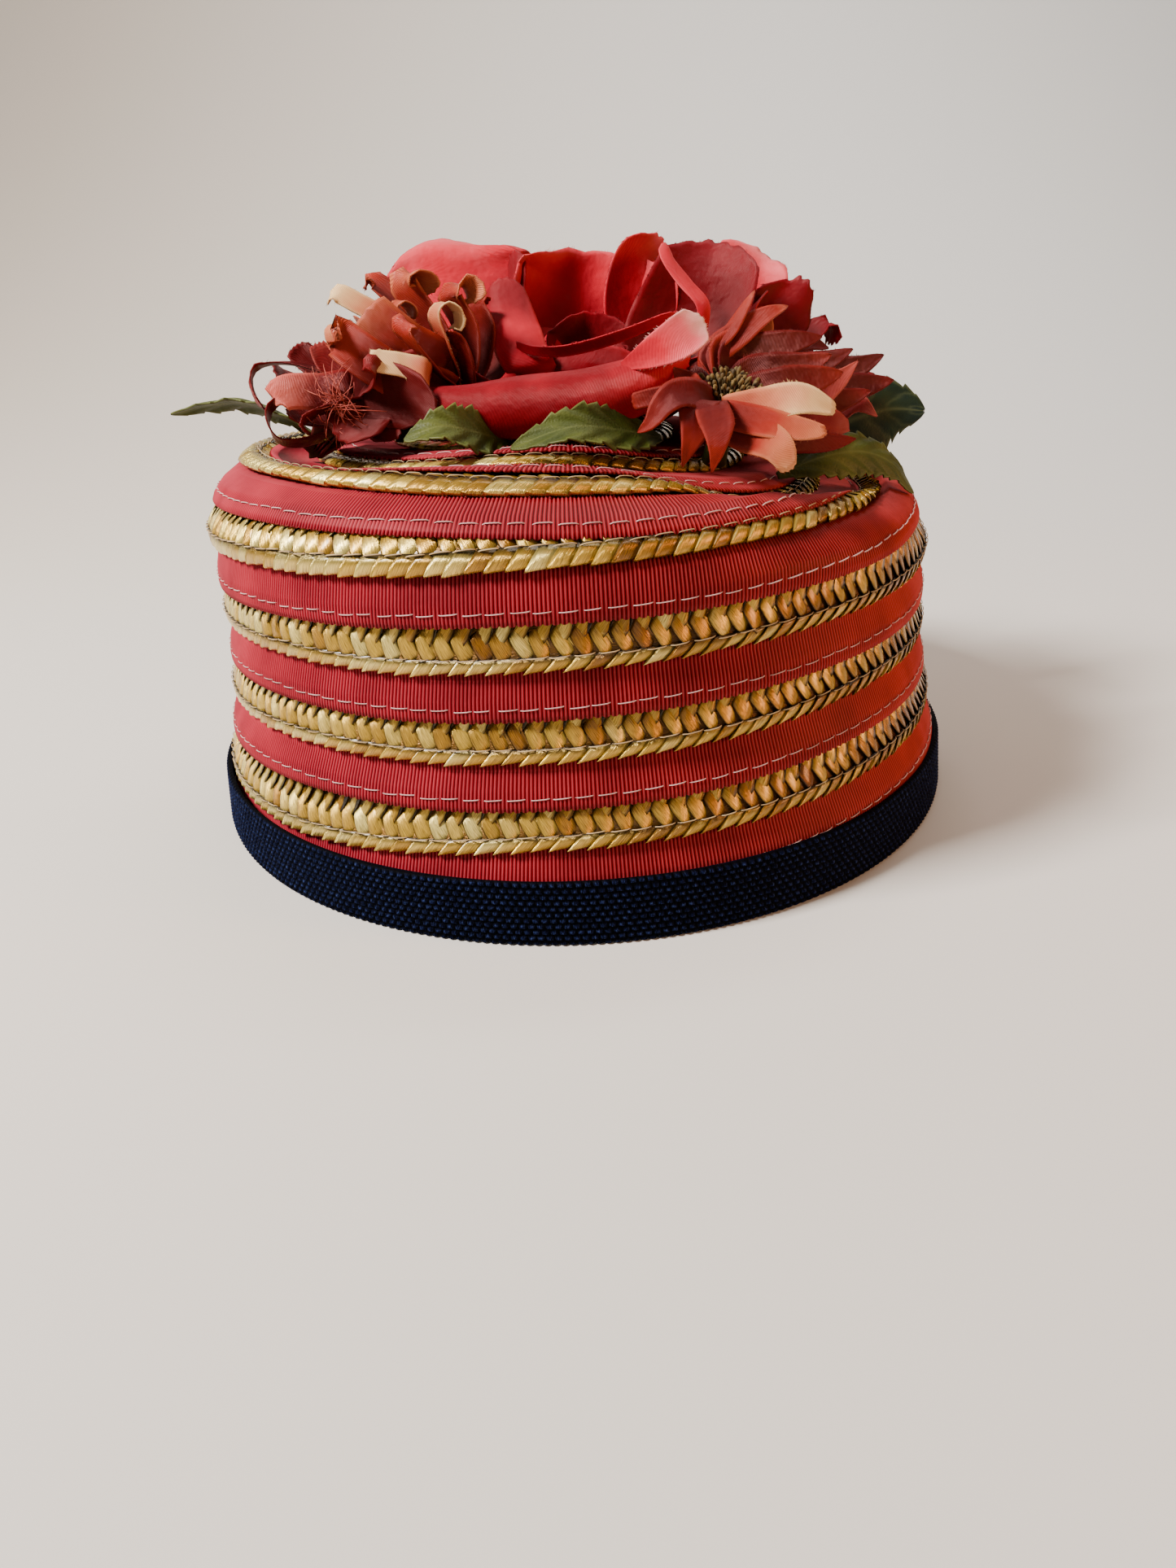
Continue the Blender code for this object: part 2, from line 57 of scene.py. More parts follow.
# %% [markdown]
# The camera
#
# A photograph fixes the camera completely once some real points are matched to their pixels: here the head
# band's oval and the turns of the spiral. It stood just over a quarter of a metre from the hat's axis, near
# the height of the tip, with a wide lens, which is why the lower turns look so much smaller than the tip.
# A lens is a focal length over a sensor, so the focal length in pixels becomes a share of the long side.

# %% Set the camera where the photograph was taken
PHOTO_SIZE = (1445, 1927)
FOCAL_PIXELS = 1336
SENSOR_MM = 36
EYE = Vector((0.0, -0.2681, 0.1120))
YAW, PITCH, ROLL = (math.radians(angle) for angle in (0.19, 24.49, -2.93))


def add_camera():
    """A camera that looks along yaw and pitch from the eye, tilted sideways by the roll."""
    looking = Vector((math.sin(YAW) * math.cos(PITCH), math.cos(YAW) * math.cos(PITCH), -math.sin(PITCH)))
    level = Vector((math.cos(YAW), -math.sin(YAW), 0))
    above = level.cross(looking)
    right = level * math.cos(ROLL) + above * math.sin(ROLL)
    up = above * math.cos(ROLL) - level * math.sin(ROLL)
    camera = bpy.data.objects.new("camera", bpy.data.cameras.new("camera"))
    camera.data.sensor_width = SENSOR_MM
    camera.data.lens = FOCAL_PIXELS / max(PHOTO_SIZE) * SENSOR_MM
    camera.matrix_world = Matrix.Translation(EYE) @ Matrix((right, up, -looking)).transposed().to_4x4()
    bpy.context.scene.collection.objects.link(camera)
    return camera


bpy.context.scene.camera = add_camera()
print("lens", round(bpy.context.scene.camera.data.lens, 2), "mm")

# %% [markdown]
# Turning arrays into meshes
#
# Every surface below is a grid: two parameters go in and points come out, as one array. Blender could also
# be asked to extrude and bevel its way there, but a strip that is several metres long with thousands of ribs
# is far easier to write as a formula. These helpers join the grid's points with quads and make the piece.

# %% Helpers for grids and pieces
hat = bpy.data.collections.new("hat")
bpy.context.scene.collection.children.link(hat)


def smooth(share):
    """Ease from 0 to 1 with flat ends: three times the square less twice the cube."""
    share = np.clip(share, 0.0, 1.0)
    return share * share * (3 - 2 * share)


def together(*numbers):
    """Arrays of numbers side by side, so that each point has one of each."""
    return np.stack(np.broadcast_arrays(*numbers), axis=-1)


def around(count):
    """Angles of points spread evenly round a ring."""
    return np.linspace(0, 2 * math.pi, count, endpoint=False)


def blocks(count, rows, columns, ring=False):
    """Quads that join the points of count grids, each of rows times columns points.

    The points run along a row first. With ring, each row's last point is joined to its first.
    """
    index = np.arange(count * rows * columns).reshape(count, rows, columns)
    if ring:
        index = np.concatenate([index, index[:, :, :1]], axis=2)
    corners = [index[:, :-1, :-1], index[:, :-1, 1:], index[:, 1:, 1:], index[:, 1:, :-1]]
    return np.stack(corners, axis=-1).reshape(-1, 4)


def tubes(points, flip=False):
    """Quads round tubes and a flat cap on each end. Points go by tube, ring along it and corner of a ring."""
    count, rings, corners = points.shape[:3]
    faces = blocks(count, rings, corners, ring=True)
    first = np.arange(count)[:, None] * rings * corners
    ring = np.arange(corners)
    caps = np.concatenate([first + ring[::-1], first + (rings - 1) * corners + ring])
    if flip:
        faces, caps = faces[:, ::-1], caps[:, ::-1]
    return faces, caps.tolist()


def run_along(path):
    """How far along a line of points each of them is."""
    return np.concatenate([[0], np.cumsum(np.linalg.norm(np.diff(path, axis=0), axis=1))])


def read_at(places, run, rows):
    """Rows of numbers that are known at each run, read between them at other places."""
    return np.stack([np.interp(places, run, column) for column in rows.T], axis=-1)


def make_piece(name, points, faces, finish, uv=None, marks=None, caps=()):
    """A smooth-shaded object of points in millimetres, with a UV map and named numbers on its points."""
    points = np.asarray(points, float).reshape(-1, 3) * MM
    mesh = bpy.data.meshes.new(name)
    mesh.from_pydata(points, [], [*np.asarray(faces).tolist(), *caps])
    mesh.shade_smooth()
    corner_points = np.zeros(len(mesh.loops), np.int32)
    mesh.loops.foreach_get("vertex_index", corner_points)
    if uv is not None:
        layer = mesh.uv_layers.new(name="UVMap")
        layer.data.foreach_set("uv", np.asarray(uv, np.float32).reshape(-1, 2)[corner_points].ravel())
    for label, values in (marks or {}).items():
        mark = mesh.attributes.new(label, "FLOAT", "POINT")
        mark.data.foreach_set("value", np.asarray(values, np.float32).ravel())
    mesh.materials.append(finish)
    piece = bpy.data.objects.new(name, mesh)
    hat.objects.link(piece)
    return piece


def thicken(piece, thickness):
    """Cloth as thick as this, in metres, half of it on either side of the surface."""
    cloth = piece.modifiers.new("cloth", "SOLIDIFY")
    cloth.thickness = thickness
    cloth.offset = 0


def dress(piece, slot, *nodes):
    """The piece rides with the hat's one body and stands for some solids. Its slot is not used."""
    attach(piece, "root")
    if nodes:
        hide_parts(*nodes)
    print(piece.name, len(piece.data.vertices), "points")
    return piece


# %% [markdown]
# Finishes
#
# A material is a small network. One helper adds a node and fills its sockets, with either a value or another
# node's output, so that each finish below reads as a list of what it is mixed from. Patterns follow the UV
# map, which holds millimetres along and across the cloth, or the named numbers on the points.

# %% Helpers for finishes
def new_finish(name, **sockets):
    """A material and its Principled shader, with some sockets set to plain values."""
    finish = bpy.data.materials.new(name)
    finish.use_nodes = True
    shader = finish.node_tree.nodes["Principled BSDF"]
    for socket, value in sockets.items():
        shader.inputs[socket.replace("_", " ")].default_value = value
    return finish, finish.node_tree, shader


def add(tree, kind, inputs=None, **settings):
    """A node of a kind. Each input is a value, or the output of another node to link to it."""
    node = tree.nodes.new("ShaderNode" + kind)
    for setting, value in settings.items():
        setattr(node, setting, value)
    for socket, value in (inputs or {}).items():
        if isinstance(value, bpy.types.NodeSocket):
            tree.links.new(value, node.inputs[socket])
        else:
            node.inputs[socket].default_value = value
    return node


def mark(tree, label):
    """A named number of the points."""
    return add(tree, "Attribute", attribute_name=label).outputs["Fac"]


def place_of(tree):
    """The point's own place on the hat, in metres."""
    return add(tree, "TexCoord").outputs["Object"]


def sideways_of(tree):
    """How far to the right of the hat's middle the point is, in metres."""
    return add(tree, "SeparateXYZ", {0: place_of(tree)}).outputs["X"]


def uv_of(tree):
    """The UV map: millimetres along and across the cloth."""
    return add(tree, "UVMap").outputs[0]


def math_of(tree, operation, *values):
    """One sum: add, multiply and so on."""
    return add(tree, "Math", dict(enumerate(values)), operation=operation).outputs[0]


def blend_of(tree, share, first, second, how="MIX"):
    """A mix of two colours, each of them a link or three numbers."""
    first, second = ((*colour, 1) if isinstance(colour, tuple) else colour for colour in (first, second))
    node = add(tree, "Mix", {0: share, 6: first, 7: second}, data_type="RGBA", blend_type=how)
    return node.outputs[2]


def times(tree, first, second):
    """One colour times another."""
    return blend_of(tree, 1.0, first, second, "MULTIPLY")


def ramp_of(tree, share, *stops):
    """Colours at places from 0 to 1, with a straight blend between them."""
    node = add(tree, "ValToRGB", {"Fac": share})
    stretch = node.color_ramp.elements
    while len(stretch) < len(stops):
        stretch.new(1.0)
    for element, (place, colour) in zip(stretch, stops):
        element.position = place
        element.color = (*colour, 1)
    return node.outputs["Color"]


def ramp_between(tree, share, low, middle, high):
    """Three colours or links, the middle one at a half."""
    first = blend_of(tree, math_of(tree, "MULTIPLY", share, 2.0), low, middle)
    return blend_of(tree, math_of(tree, "MULTIPLY_ADD", share, 2.0, -1.0), first, high)


def noise_of(tree, vector, scale, detail=2.0, stretched=(1, 1, 1)):
    """Noise between 0 and 1, with a scale for each direction."""
    scaled = add(tree, "Mapping", {"Vector": vector, "Scale": stretched}).outputs[0]
    return add(tree, "TexNoise", {"Vector": scaled, "Scale": scale, "Detail": detail}).outputs["Fac"]


def bump_of(tree, height, distance, strength=1.0, under=None):
    """A bump of a height map, distance metres deep, on top of another bump if there is one."""
    inputs = {"Height": height, "Distance": distance, "Strength": strength}
    if under is not None:
        inputs["Normal"] = under
    return add(tree, "Bump", inputs).outputs[0]


def paint(tree, shader, colour, bump=None):
    """Link the colour and the bump that a finish comes to."""
    tree.links.new(colour, shader.inputs["Base Color"])
    if bump is not None:
        tree.links.new(bump, shader.inputs["Normal"])


# %% [markdown]
# The crown's surface
#
# Everything on the hat lies on one surface, so it is worked out once. At each angle round the oval it has a
# profile: up the side, which narrows a little in the middle, round a soft shoulder, and across the top, which
# dips behind its raised edge on the right and rises again under the posy. The profile's sizes change round
# the edge, and a smooth curve through eight measured rows gives them anywhere.

# %% The shape of the crown
band_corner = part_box("head_band")[1]
BAND_RADIUS = band_corner.x / MM
PLAN_RATIO = band_corner.y / band_corner.x
CROWN_HEIGHT = 80.0
GAP = 0.3
BAND_THICKNESS = 1.2
STRIP_STACK = 2.9
WALL_RADIUS = BAND_RADIUS - BAND_THICKNESS - GAP - STRIP_STACK
WALL_DEPTH = WALL_RADIUS * PLAN_RATIO
TOP_CENTRE = 1.03
LIP_WIDTH = 0.11
SHOULDER_POWER = 1.4

WALL = np.array([
    # height, radius
    (0.00, 1.000), (0.16, 0.988), (0.28, 0.966), (0.40, 0.947), (0.52, 0.936),
    (0.64, 0.932), (0.76, 0.934), (0.90, 0.940), (1.10, 0.940),
])
RIM = np.array([
    # top, shoulder run, shoulder drop, lip depth, every 45 degrees from the right by way of the back
    (0.850, 0.070, 0.170, 0.110), (0.870, 0.070, 0.160, 0.100),
    (0.920, 0.070, 0.150, 0.080), (0.970, 0.090, 0.150, 0.070),
    (1.000, 0.105, 0.160, 0.070), (1.005, 0.115, 0.150, 0.050),
    (0.995, 0.175, 0.140, 0.005), (0.880, 0.080, 0.100, 0.090),
])
PROFILE_POINTS = 150
STATION = 0.25
LONGEST_PROFILE = 190
stations = np.arange(0, LONGEST_PROFILE, STATION)


def cubic(before, start, end, after, t):
    """A cubic from start to end whose slope at each is half the step between the two points beside it."""
    bends = (t**3 - 2 * t**2 + t) * (end - before) / 2 + (t**3 - t**2) * (after - start) / 2
    return (2 * t**3 - 3 * t**2 + 1) * start + (3 * t**2 - 2 * t**3) * end + bends


def through(rows, turns):
    """A smooth closed curve through rows of numbers."""
    place = turns % 1 * len(rows)
    row = np.floor(place).astype(int)
    return cubic(*(rows[(row + k) % len(rows)] for k in (-1, 0, 1, 2)), (place - row)[:, None])


def crown_profiles(angles):
    """Radii, heights and lengths along the profile at each angle: wall, super-ellipse shoulder and dish."""
    top, run, drop, lip = (through(RIM, angles / 360) * CROWN_HEIGHT).T[:, :, None]
    wall_z = np.linspace(0, 1, PROFILE_POINTS) * (top - drop)
    wall_r = np.interp(wall_z / CROWN_HEIGHT, WALL[:, 0], WALL[:, 1]) * WALL_RADIUS
    turn = np.linspace(0, math.pi / 2, PROFILE_POINTS)[1:]
    edge = wall_r[:, -1:] - run
    corner_r = edge + run * np.cos(turn) ** (2 / SHOULDER_POWER)
    corner_z = wall_z[:, -1:] + drop * np.sin(turn) ** (2 / SHOULDER_POWER)
    share = np.linspace(1, 0, PROFILE_POINTS)[1:]
    dish = lip * smooth(edge * (1 - share) / (LIP_WIDTH * CROWN_HEIGHT))
    centre = TOP_CENTRE * CROWN_HEIGHT
    top_z = centre + (top - centre - dish) * share**2
    radii = np.hstack([wall_r, corner_r, edge * share])
    heights = np.hstack([wall_z, corner_z, top_z])
    longer = np.hypot(np.cos(np.radians(angles)), PLAN_RATIO * np.sin(np.radians(angles)))[:, None]
    steps = np.hypot(np.diff(radii) * longer, np.diff(heights))
    lengths = np.hstack([np.zeros((len(angles), 1)), np.cumsum(steps, axis=1)])
    return radii, heights, lengths


profile_r, profile_z, profile_length = crown_profiles(np.arange(0.0, 360.0))
crown_r = np.stack([np.interp(stations, *pair) for pair in zip(profile_length, profile_r)])
crown_z = np.stack([np.interp(stations, *pair) for pair in zip(profile_length, profile_z)])
crown_end = profile_length[:, -1]
print("up to the middle of the top:", crown_end.min().round(), "to", crown_end.max().round(), "mm")


# %% Find points on the crown
def look_up(table, angle, length):
    """Read a table with a row for each degree and a column for each station, between its entries."""
    row = np.floor(angle % 360).astype(int) % 360
    past_row = angle % 360 - row
    place = np.clip(length / STATION, 0, table.shape[1] - 1.001)
    column = place.astype(int)
    past = place - column
    here = table[row, column] * (1 - past) + table[row, column + 1] * past
    next_row = (row + 1) % 360
    there = table[next_row, column] * (1 - past) + table[next_row, column + 1] * past
    return here * (1 - past_row) + there * past_row


def end_at(angle):
    """How far it is up the profile to the middle of the top."""
    return np.interp(angle % 360, np.arange(361), np.append(crown_end, crown_end[0]))


def on_crown(angle, length, offset):
    """Points a length up the profile, moved out by offset square to it.

    The slope is taken between two places that are as far to either side as the strips are deep.
    """
    angle, length, offset = np.broadcast_arrays(angle, length, offset)
    ahead = np.minimum(length + STRIP_STACK, end_at(angle))
    behind = np.maximum(length - STRIP_STACK, 0)
    dr = look_up(crown_r, angle, ahead) - look_up(crown_r, angle, behind)
    dz = look_up(crown_z, angle, ahead) - look_up(crown_z, angle, behind)
    size = np.hypot(dr, dz)
    radius = look_up(crown_r, angle, length) + offset * dz / size
    height = look_up(crown_z, angle, length) - offset * dr / size
    turn = np.radians(angle)
    return together(radius * np.cos(turn), radius * PLAN_RATIO * np.sin(turn), height)


# %% [markdown]
# The two strips
#
# Ribbon and straw climb one turn together in 17.2 mm: 8.9 mm of ribbon shows, then 8.3 mm of straw. The
# lower edge of each lies on top of the strip below, and its upper edge disappears under the next one. So a
# strip has its own coordinates: along it, across it from the lower edge, and lift from its inner face. The
# functions below turn them into places on the hat, and every rib, plait and stitch is laid out with them.

# %% Coordinates along a strip
RIBBON_SHOWN, RIBBON_DEEP = 8.9, 1.0
BRAID_SHOWN, BRAID_DEEP = 8.3, 1.6
SEAM = 2.6
PITCH_UP = RIBBON_SHOWN + BRAID_SHOWN
BAND_HEIGHT = 13.0
FIRST_BRAID = BAND_HEIGHT + GAP
NARROWEST = 1.4 * SEAM
LAST_WINDING = 6000.0
WAVES = ((0.22, 1.7, 0.0), (0.16, 4.3, 1.0), (0.10, 9.1, 2.0))
SAG = 3.4
SAG_ANGLE = 285
SAG_STARTS, SAG_FADES = 1710, 700
RIBBON_STARTS, BRAID_STARTS = 150, -60
RIBBON_LAP = 4.0
LAP_GROWS, LAP_EASES = 1680, 90
LAP_LIFTS = 0.07
FIRST_DIP = 2.3
DIP_ENDS, DIP_FADES = 228, 40


def wander(winding):
    """How far a hand-sewn edge strays up and down: three slow waves that never quite repeat."""
    turn = np.radians(winding)
    return sum(size * np.sin(rate * turn + start) for size, rate, start in WAVES)


def sag(winding):
    """How far the windings of the top slip down where the edge dips: a cosine bump round the front right.

    It starts with the first winding over the edge and fades by the exponential of the windings after it.
    """
    bump = np.clip(np.cos(np.radians(winding - SAG_ANGLE)), 0, 1) ** 2
    past = winding - SAG_STARTS
    return SAG * bump * np.where(past > -180, np.exp(-np.maximum(past, 0) / SAG_FADES), 0)


class Strip:
    """A strip of the spiral and the table that turns a length along it into a winding angle in degrees."""

    def __init__(self, shown, deep, deep_below, first_length, start, deeper_lap):
        self.width = shown + SEAM
        self.deeper_lap = deeper_lap
        self.deep = deep
        self.raised = deep_below + GAP
        self.first_length = first_length
        winding = np.arange(start, LAST_WINDING)
        room = self.room(winding)
        self.winding = winding[: np.argmax(room < NARROWEST)]
        middle = on_crown(self.winding, self.low(self.winding) + shown / 2, self.raised)
        self.along = run_along(middle)
        self.length = self.along[-1]

    def low(self, winding):
        """How far up the profile the lower edge lies. It climbs by one pitch a turn, less the sag.

        The first turn keeps to the band's edge as far as the left front, where it comes out from behind.
        """
        rise = PITCH_UP * (winding - 180) / 360
        dip = np.clip(rise + GAP, 0, FIRST_DIP) * (1 - smooth((winding - DIP_ENDS) / DIP_FADES))
        return self.first_length + rise - sag(winding) - dip

    def room(self, winding):
        """What is left between the lower edge and the middle of the top."""
        return end_at(winding) - 2 * GAP - self.low(winding)

    def at(self, along, across, lift):
        """Points on the hat. A strip narrows at the middle of the top, and the ribbon laps further there."""
        winding = np.interp(along, self.along, self.winding)
        left = np.clip((self.room(winding) - SEAM) / (self.width - SEAM), 0, 1)
        narrowed = np.where(across > SEAM, SEAM + (across - SEAM) * left, across)
        deeper = self.deeper_lap * smooth((winding - LAP_GROWS) / LAP_EASES) * (1 - across / self.width)
        lap = [0, SEAM, self.width - SEAM, self.width]
        base = np.interp(across - deeper, lap, [self.raised, self.raised, 0, 0]) * (1 + LAP_LIFTS * deeper)
        return on_crown(winding, self.low(winding) + narrowed - deeper + wander(winding), base + lift)


ribbon = Strip(RIBBON_SHOWN, RIBBON_DEEP, BRAID_DEEP, FIRST_BRAID - RIBBON_SHOWN, RIBBON_STARTS, RIBBON_LAP)
braid = Strip(BRAID_SHOWN, BRAID_DEEP, RIBBON_DEEP, FIRST_BRAID, BRAID_STARTS, 0.0)
print("ribbon", round(ribbon.length), "mm long, straw", round(braid.length), "mm long")

# %% [markdown]
# Grosgrain ribbon
#
# Grosgrain is woven with fat weft cords, so it has a rib about every three quarters of a millimetre, straight
# across the ribbon, and where the weft turns back at the selvedge each pair of ribs ends in a tiny loop. The
# ribs are real geometry here, two columns of points to a rib, because they show at this distance. Their
# colour adds painted shade in the valleys and a painted highlight on the tops. The red is painted light as
# well: crimson on the hat's left, where the light comes from, and brick red on the other side.

# %% Finish of the ribbon
def grosgrain():
    """Red silk rib with painted rib shade and highlights, and painted light: crimson left, orange right."""
    finish, tree, shader = new_finish("red_grosgrain", Roughness=0.50, Specular_IOR_Level=0.20,
                                      Specular_Tint=(1.0, 0.16, 0.18, 1))
    # Painted light: the red turns from crimson on the hat's left, where the window light falls, to orange on
    # its right.
    side = math_of(tree, "MULTIPLY_ADD", sideways_of(tree), 5.5, 0.5)
    red = ramp_of(tree, side, (0.0, (0.27, 0.0012, 0.014)), (0.45, (0.22, 0.0008, 0.006)),
                  (0.80, (0.24, 0.0030, 0.0015)), (1.0, (0.36, 0.012, 0.002)))
    # Painted shade darkens the valleys between the ribs, and a painted highlight pales their tops.
    painted_valley_shade = times(tree, red, (0.03, 0.02, 0.03))
    painted_rib_highlight = blend_of(tree, 0.16, red, (1.0, 0.30, 0.34))
    painted_rib_light = ramp_between(tree, mark(tree, "rib"), painted_valley_shade, red, painted_rib_highlight)
    uneven = noise_of(tree, place_of(tree), 90, 3)
    patchy = ramp_of(tree, uneven, (0.3, (0.72, 0.72, 0.72)), (0.7, (1.1, 1.1, 1.1)))
    fine = noise_of(tree, uv_of(tree), 3.0, 2, (1, 0.25, 1))
    paint(tree, shader, times(tree, painted_rib_light, patchy), bump_of(tree, fine, 0.00008))
    return finish


red_grosgrain = grosgrain()

# %% The ribbon
RIB_PITCH = 0.75
RIB_RISE = 0.16
RIBBON_WALL = 0.5
END_GAP = 0.5
LOOP = (-0.05, -0.22, -0.05, 0.14)
ribbon_rows = np.array([
    # across, lift above the outer face, how much of the rib shows
    (0.0, -0.10, 1.0), (1.0, 0.02, 1.0), (2.4, -0.08, 0.6), (4.0, 0.05, 1.0), (7.4, 0.05, 1.0),
    (12.1, 0.0, 0.6), (12.1, -RIBBON_WALL, 0.0), (0.0, -RIBBON_WALL, 0.0),
])


def ribbon_piece():
    """A closed band round the strip: six rows of points on the outer face and two on the inner one.

    Even columns are the tops of ribs and odd ones the valleys. The lowest rows follow the loops of the edge.
    """
    columns = int(ribbon.length / (RIB_PITCH / 2)) // 4 * 4
    along = np.linspace(END_GAP, ribbon.length - END_GAP, columns)[:, None]
    across, lift, shown = ribbon_rows.T[:, None, :]
    top = (np.arange(columns) % 2 == 0)[:, None]
    loops = np.tile(LOOP, columns // 4)[:, None]
    across = across + loops * (ribbon_rows[:, 0] == 0)
    lift = ribbon.deep + lift + np.where(top, RIB_RISE, -RIB_RISE) * shown
    points = ribbon.at(along, across, lift)
    uv = together(along, across)
    rib = np.broadcast_to(np.where(top, 1.0, 0.0), (columns, len(ribbon_rows)))
    faces, ends = tubes(points[None], flip=True)
    return make_piece("ribbon", points, faces, red_grosgrain, uv, {"rib": rib}, ends)


ribbon_sheet = dress(ribbon_piece(), "red_grosgrain", "ribbon_coil")

# %% [markdown]
# Plaited straw
#
# The braid is split straw, plaited flat. Three kinds of visible piece repeat every 3.5 mm: a broad leaf that
# slants down to the right, the tip of a strand that dives behind it at the top, and the fold where a strand
# turns round the lower edge. Each is a small curved grid with its ends sunk below its neighbours. They are
# all made at once, as arrays with one block for each piece, from a table of where a strand starts and ends.

# %% Finish of the straw
def straw():
    """Glossy split straw: fibres along each leaf, which are brown to cream.

    Painted light makes it paler on the hat's left, and painted shade darkens the ends that pass under others.
    """
    finish, tree, shader = new_finish("gold_straw", Metallic=0.60, Roughness=0.27, Coat_Weight=0.30,
                                      Coat_Roughness=0.15)
    fibres = noise_of(tree, uv_of(tree), 1.0, 3, (0.5, 9, 1))
    # Painted light: the straw is painted paler towards the hat's left, where the window light falls.
    tint = math_of(tree, "MULTIPLY_ADD", sideways_of(tree), -3.0, mark(tree, "tint"))
    leaf = ramp_of(tree, tint, (0.0, (0.17, 0.048, 0.002)), (0.35, (0.41, 0.185, 0.013)),
                   (0.75, (0.72, 0.450, 0.058)), (1.0, (0.90, 0.70, 0.21)))
    light = ramp_of(tree, fibres, (0.32, (0.40, 0.38, 0.32)), (0.62, (1.2, 1.2, 1.15)))
    # Painted shade: the ends and sides that pass under their neighbours are painted nearly black.
    shaded = blend_of(tree, mark(tree, "painted_gap_shade"), times(tree, leaf, light), (0.012, 0.005, 0.001))
    paint(tree, shader, shaded, bump_of(tree, fibres, 0.00014))
    return finish


gold_straw = straw()

# %% The plaits
PLAIT_PITCH = 3.5
SLANT = math.radians(57)
PLAITS = {
    # how far along its upper end is, how far across each end is, width, rise in the middle, depth of its ends
    "tip": (3.6, 10.1, 5.6, 3.0, 0.22, 0.30),
    "leaf": (0.0, 8.1, 2.2, 3.50, 0.32, 0.70),
}
TIP_SHAPE = (5, 4)
LEAF_SHAPE = (8, 8)
FOLD_SHAPE = (6, 7)
SPLIT = 0.55
SPLIT_SHARE, SPLIT_DEPTH = 0.3, 0.35
TUCK = 0.26
FOLD_TALL, FOLD_DEEP, FOLD_SWELL = 3.0, 0.75, 0.38
FOLD_LEAN, FOLD_TILT = 0.80, 0.75
STRAW_TINT, TINT_SPREAD = 0.52, 0.17
BED_STEP = 2.0
leaf_sides = np.array([-1.0, -0.78, -0.35, 0.08, 0.40, SPLIT, 0.70, 1.0])
chance = np.random.default_rng(3)


def scattered(count, spread):
    """One random number for each plait, shaped so that it spreads over the plait's grid."""
    return chance.normal(0, spread, (count, 1, 1))


def plaits(kind, shape, sides, way):
    """Strands that slant down the braid: to the right where way is 1, and to the left where it is -1.

    u runs down a strand and v across it. A strand is a bar whose ends are cut along the other strands' slant.
    It rises as the root of one less the fourth power of v, its ends sink, and one side lies a little under
    its neighbour. Some are split lengthwise.
    """
    from_along, from_across, to_across, width, rise, sink = PLAITS[kind]
    count = int(braid.length / PLAIT_PITCH)
    start = np.arange(count)[:, None, None] * PLAIT_PITCH + scattered(count, 0.10)
    u = np.linspace(0, 1, shape[0])[None, :, None]
    v = sides[None, None, :]
    slant = SLANT + scattered(count, 0.04)
    reach = (from_across - to_across) / np.sin(SLANT)
    half = width / 2 * (1 + scattered(count, 0.05)) * np.sin(math.pi * (0.06 + 0.88 * u)) ** 0.28
    down = reach * u - 0.5 * v * half + 0.15 * np.sin(2 * math.pi * u + v)
    along = start + from_along + way * (down * np.cos(slant) + v * half * np.sin(slant))
    across = from_across - down * np.sin(slant) + v * half * np.cos(slant)
    crown = rise * (1 + scattered(count, 0.2)) * (1 - v**4) ** 0.5
    lift = braid.deep - 0.25 + crown * np.sin(math.pi * u) ** 0.4
    lift = lift - sink * (2 * np.abs(u - 0.45)) ** 3 - TUCK * v
    split = chance.uniform(0, 1, (count, 1, 1)) < SPLIT_SHARE
    lift = lift + scattered(count, 0.10) * v - SPLIT_DEPTH * split * (v == SPLIT) * smooth(3 * u)
    return along, across, np.broadcast_to(lift, along.shape), u, v


def straw_uv(u, v, shape, stretch_u, stretch_v):
    """UV in millimetres along and across each strand, shifted so that no two strands share their fibres."""
    shift = chance.uniform(0, 900, (shape[0], 1, 1))
    return together(u * stretch_u + shift, v * stretch_v + shift * 0.37)


def edge_folds():
    """The strand turned round the lower edge: u runs along it and v goes down the front and up behind.

    In section the fold is a flattened half turn. It leans with the strands, its left side stands out as a
    curl and its right side passes under the next one.
    """
    count = int(braid.length / PLAIT_PITCH)
    start = np.arange(count)[:, None, None] * PLAIT_PITCH + scattered(count, 0.08)
    u = np.linspace(0, 1, FOLD_SHAPE[0])[None, :, None]
    v = np.linspace(0, 1, FOLD_SHAPE[1])[None, None, :]
    turn = math.pi * v
    tall = FOLD_TALL * (1 + scattered(count, 0.04)) * (1 + 0.10 * (1 - u) ** 3 - 0.10 * u**4)
    across = 3.1 - tall * np.sin(turn) - 0.5 * (v > 0.5)
    swell = FOLD_SWELL * np.sin(math.pi * (0.08 + 0.84 * u)) ** 0.7
    lift = braid.deep - 0.15 - FOLD_DEEP * (1 - np.cos(turn)) + swell * (0.4 + 0.6 * np.cos(turn))
    lift = lift + FOLD_TILT * (0.40 - u)
    along = start + PLAIT_PITCH * (1.22 * u - 0.11) + FOLD_LEAN * (across - FOLD_TALL / 2)
    return along, across, lift, v + 0 * u, u + 0 * v


